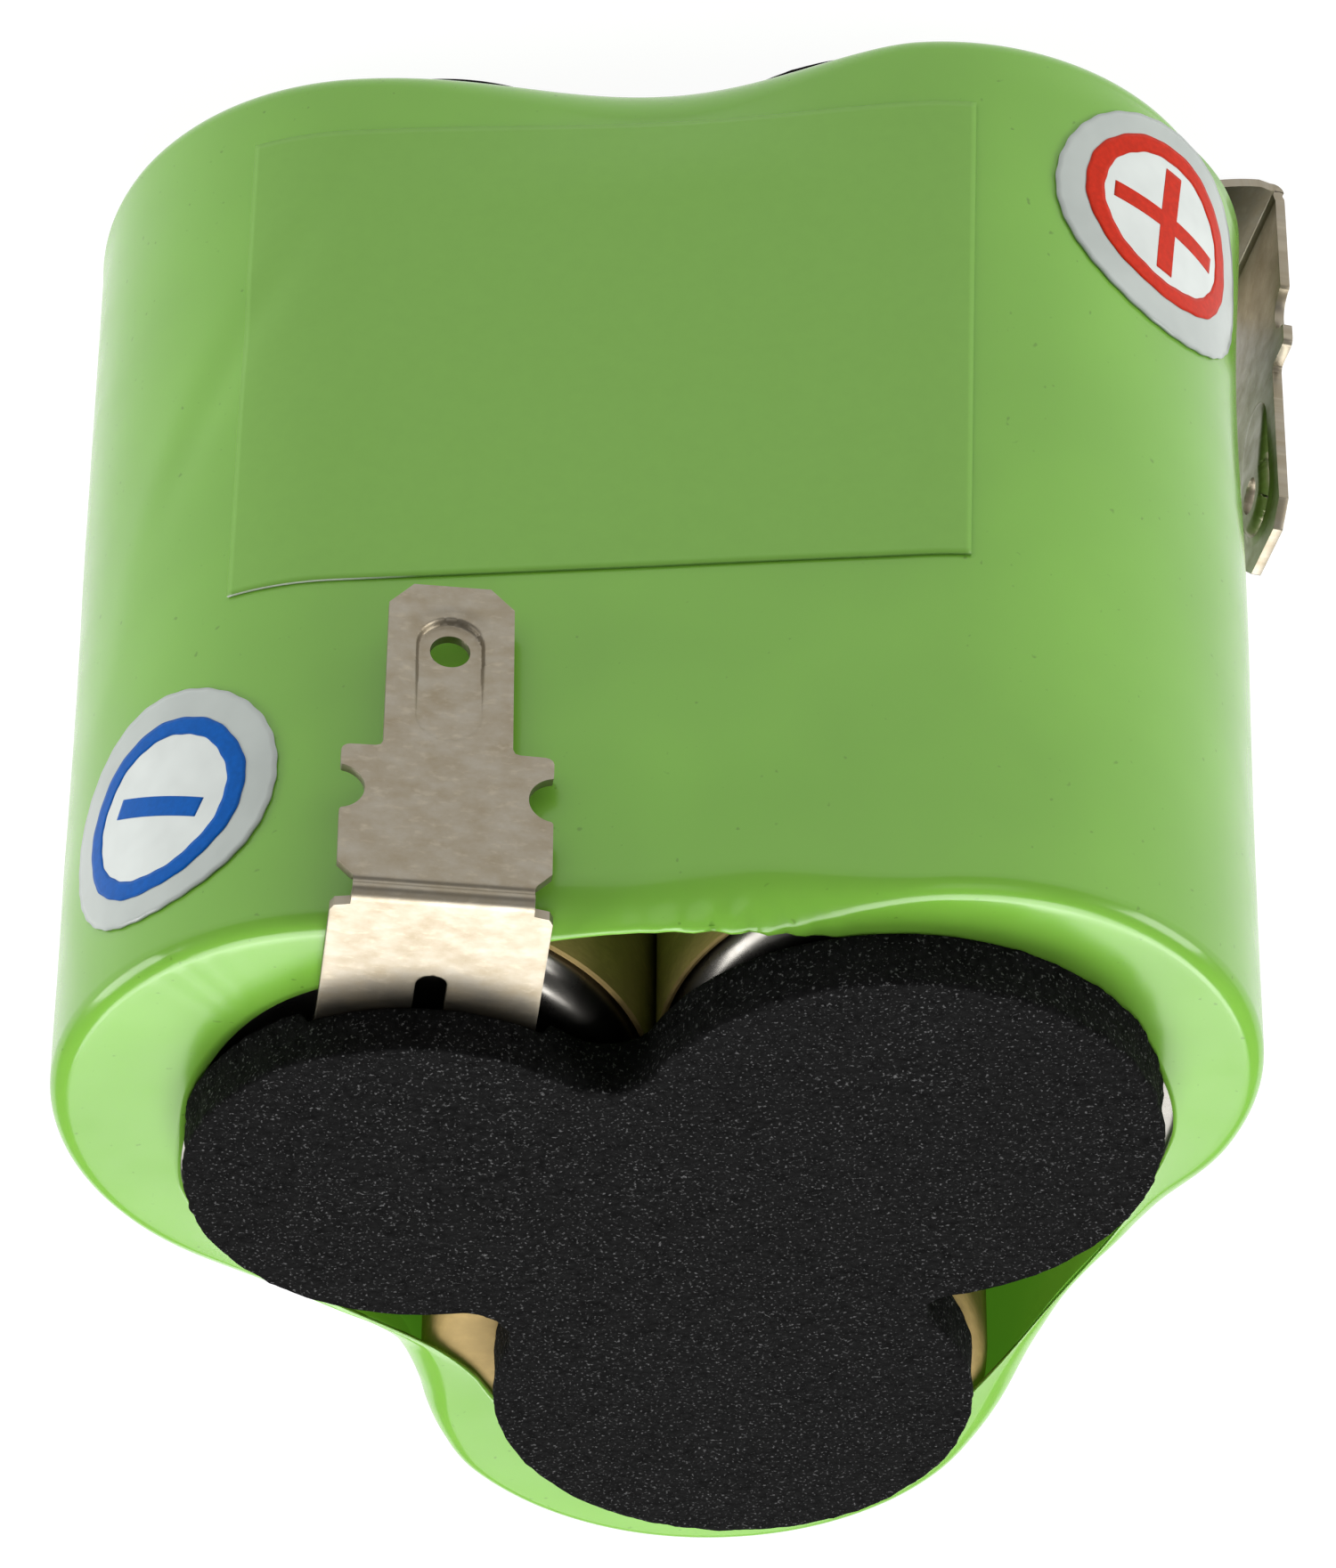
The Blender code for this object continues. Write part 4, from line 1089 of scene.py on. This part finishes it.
class PACK_OT_cells(bpy.types.Operator):
    """Make each cell's can, paper tube, cap and washer"""

    bl_idname = "pack.cells"
    bl_label = "Cells"

    def execute(self, context):
        settings = context.scene.pack_cells
        steel, paper = steel_finish(settings.steel), paper_finish(settings.paper)
        fibre = plain_finish("fibre_washer", (0.78, 0.76, 0.70), 0.75, 0.0, 0.3 * MM, 0.02 * MM)
        for number in CELLS:
            for kind, node, profile, finish, slot in (
                ("steel_can", "can", can_profile(), steel, "can_steel"),
                ("kraft_tube", "paper_tube", tube_profile(CAP_UP[number - 1]), paper, "kraft_paper"),
                ("pressed_cap", "positive_cap", cap_profile(), steel, "can_steel"),
                ("fibre_ring", "cap_washer", washer_profile(), fibre, "fibre_white"),
            ):
                name = f"{kind}_{number}"
                mesh = turned(name, profile, number, settings.around)
                add_piece(name, mesh, finish, [f"cell_{number}_{node}"])
        return {"FINISHED"}


class PACK_OT_insides(bpy.types.Operator):
    """Give every inner piece of the model its own finish"""

    bl_idname = "pack.insides"
    bl_label = "Inner pieces"

    def execute(self, context):
        settings = context.scene.pack_tabs
        steel = bpy.data.materials["can_plate"]
        sheet = plain_finish("nickel_sheet", settings.metal, 0.36, 1.0, 0.6 * MM, 0.01 * MM)
        finishes = {
            "link": sheet, "collector": sheet, "lead": sheet, "lid": steel,
            "insulator": bpy.data.materials["fibre_washer"],
        }
        for key, name, base, roughness, metallic, lump, depth in (
            ("negative_electrode", "alloy_electrode", (0.16, 0.16, 0.17), 0.62, 0.4, 0.12, 0.03),
            ("positive_electrode", "oxide_electrode", (0.10, 0.13, 0.10), 0.8, 0.1, 0.10, 0.04),
            ("separator", "separator_cloth", (0.84, 0.84, 0.80), 0.85, 0.0, 0.08, 0.03),
            ("gasket", "seal_nylon", (0.72, 0.71, 0.64), 0.45, 0.0, 0.5, 0.01),
            ("vent_plug", "vent_rubber", (0.03, 0.03, 0.032), 0.7, 0.0, 0.2, 0.02),
        ):
            finishes[key] = plain_finish(name, base, roughness, metallic, lump * MM, depth * MM)
        for name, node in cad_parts.items():
            if node.hide_render:
                continue
            found = [finish for key, finish in finishes.items() if key in name]
            if not found:
                raise RuntimeError(f"{name} has no finish")
            node.data.materials.clear()
            node.data.materials.append(found[0])
        return {"FINISHED"}


# The stage

FLOOR_HALF = 1.5


def camera_matrix(settings):
    """The camera looks from its azimuth and elevation at its aim, then rolls about the line of sight."""
    azimuth, elevation, roll = settings.azimuth, settings.elevation, settings.roll
    back = Vector((sin(azimuth) * cos(elevation), -cos(azimuth) * cos(elevation), sin(elevation)))
    right = (-back).cross(Vector((0, 0, 1))).normalized()
    up = right.cross(-back)
    rolled_right = right * cos(roll) + up * sin(roll)
    rolled_up = up * cos(roll) - right * sin(roll)
    axes = Matrix((rolled_right, rolled_up, back)).transposed().to_4x4()
    return Matrix.Translation(Vector(settings.aim) + back * settings.distance) @ axes


def area_light(name, place, aim_height, width, power):
    light = bpy.data.lights.new(name, "AREA")
    light.shape = "SQUARE"
    light.size = width
    light.energy = power
    lamp = bpy.data.objects.new(name, light)
    lamp.location = place
    lamp.rotation_mode = "QUATERNION"
    lamp.rotation_quaternion = (Vector((0, 0, aim_height)) - Vector(place)).to_track_quat("-Z", "Y")
    bpy.context.scene.collection.objects.link(lamp)


class PACK_OT_stage(bpy.types.Operator):
    """Set up the pale floor, the soft lights and the camera"""

    bl_idname = "pack.stage"
    bl_label = "Stage"

    def execute(self, context):
        settings = context.scene.pack_stage
        floor_mesh = bpy.data.meshes.new("floor")
        corners = [(-FLOOR_HALF, -FLOOR_HALF, 0), (FLOOR_HALF, -FLOOR_HALF, 0)]
        corners += [(FLOOR_HALF, FLOOR_HALF, 0), (-FLOOR_HALF, FLOOR_HALF, 0)]
        floor_mesh.from_pydata(corners, [], [(0, 1, 2, 3)])
        finish = Finish("floor_paper", (0.12, 0.12, 0.12), 0.9, Specular_IOR_Level=0.1)
        finish.set("Emission Color", (1, 1, 1, 1))
        finish.set("Emission Strength", 0.95)
        floor_mesh.materials.append(finish.material)
        floor = bpy.data.objects.new("floor", floor_mesh)
        context.scene.collection.objects.link(floor)

        world = bpy.data.worlds.new("studio")
        world.use_nodes = True
        sky = world.node_tree.nodes["Background"]
        sky.inputs["Color"].default_value = (1, 1, 1, 1)
        sky.inputs["Strength"].default_value = 0.22
        context.scene.world = world

        for name, place, aim_height, width, power in (
            ("top_softbox", (0.02, 0.24, 0.5), 0.03, 0.42, 3.3),
            ("back_softbox", (-0.02, 0.5, 0.42), 0.04, 0.4, 0.8),
            ("front_softbox", (-0.1, -0.35, 0.45), 0.03, 0.25, 0.15),
            ("side_softbox_-1", (-0.55, -0.08, 0.22), 0.03, 0.3, 1.9),
            ("side_softbox_1", (0.55, -0.08, 0.22), 0.03, 0.3, 1.9),
        ):
            area_light(name, place, aim_height, width, power)

        camera = bpy.data.cameras.new("camera")
        camera.sensor_width = 36.0
        camera.lens = settings.lens
        camera.clip_start, camera.clip_end = 0.01, 10.0
        view = bpy.data.objects.new("camera", camera)
        view.matrix_world = camera_matrix(settings)
        context.scene.collection.objects.link(view)
        context.scene.camera = view
        context.scene.view_settings.view_transform = "Standard"
        return {"FINISHED"}


class PACK_PT_panel(bpy.types.Panel):
    """Lists the pieces of the pack and the stage"""

    bl_idname = "PACK_PT_panel"
    bl_label = "Battery Pack"
    bl_space_type = "VIEW_3D"
    bl_region_type = "UI"
    bl_category = "Battery Pack"

    def draw(self, context):
        for operator in OPERATORS:
            self.layout.operator(operator.bl_idname)
        for name in SETTINGS:
            group = getattr(context.scene, name)
            box = self.layout.box()
            for prop in group.__annotations__:
                box.prop(group, prop)


SETTINGS = {
    "pack_sleeve": SleeveSettings, "pack_label": LabelSettings, "pack_pads": PadSettings,
    "pack_tabs": TabSettings, "pack_cells": CellSettings, "pack_stage": StageSettings,
}
OPERATORS = (
    PACK_OT_sleeve, PACK_OT_label, PACK_OT_pads, PACK_OT_tabs, PACK_OT_cells, PACK_OT_insides, PACK_OT_stage,
)
CLASSES = (*SETTINGS.values(), *OPERATORS, PACK_PT_panel)


def register():
    for each in CLASSES:
        bpy.utils.register_class(each)
    for name, group in SETTINGS.items():
        setattr(bpy.types.Scene, name, PointerProperty(type=group))


def unregister():
    for name in SETTINGS:
        delattr(bpy.types.Scene, name)
    for each in reversed(CLASSES):
        bpy.utils.unregister_class(each)


def main():
    register()
    bpy.ops.pack.sleeve()
    bpy.ops.pack.label()
    bpy.ops.pack.pads()
    bpy.ops.pack.tabs()
    bpy.ops.pack.cells()
    bpy.ops.pack.insides()
    bpy.ops.pack.stage()


if __name__ == "__main__":
    main()
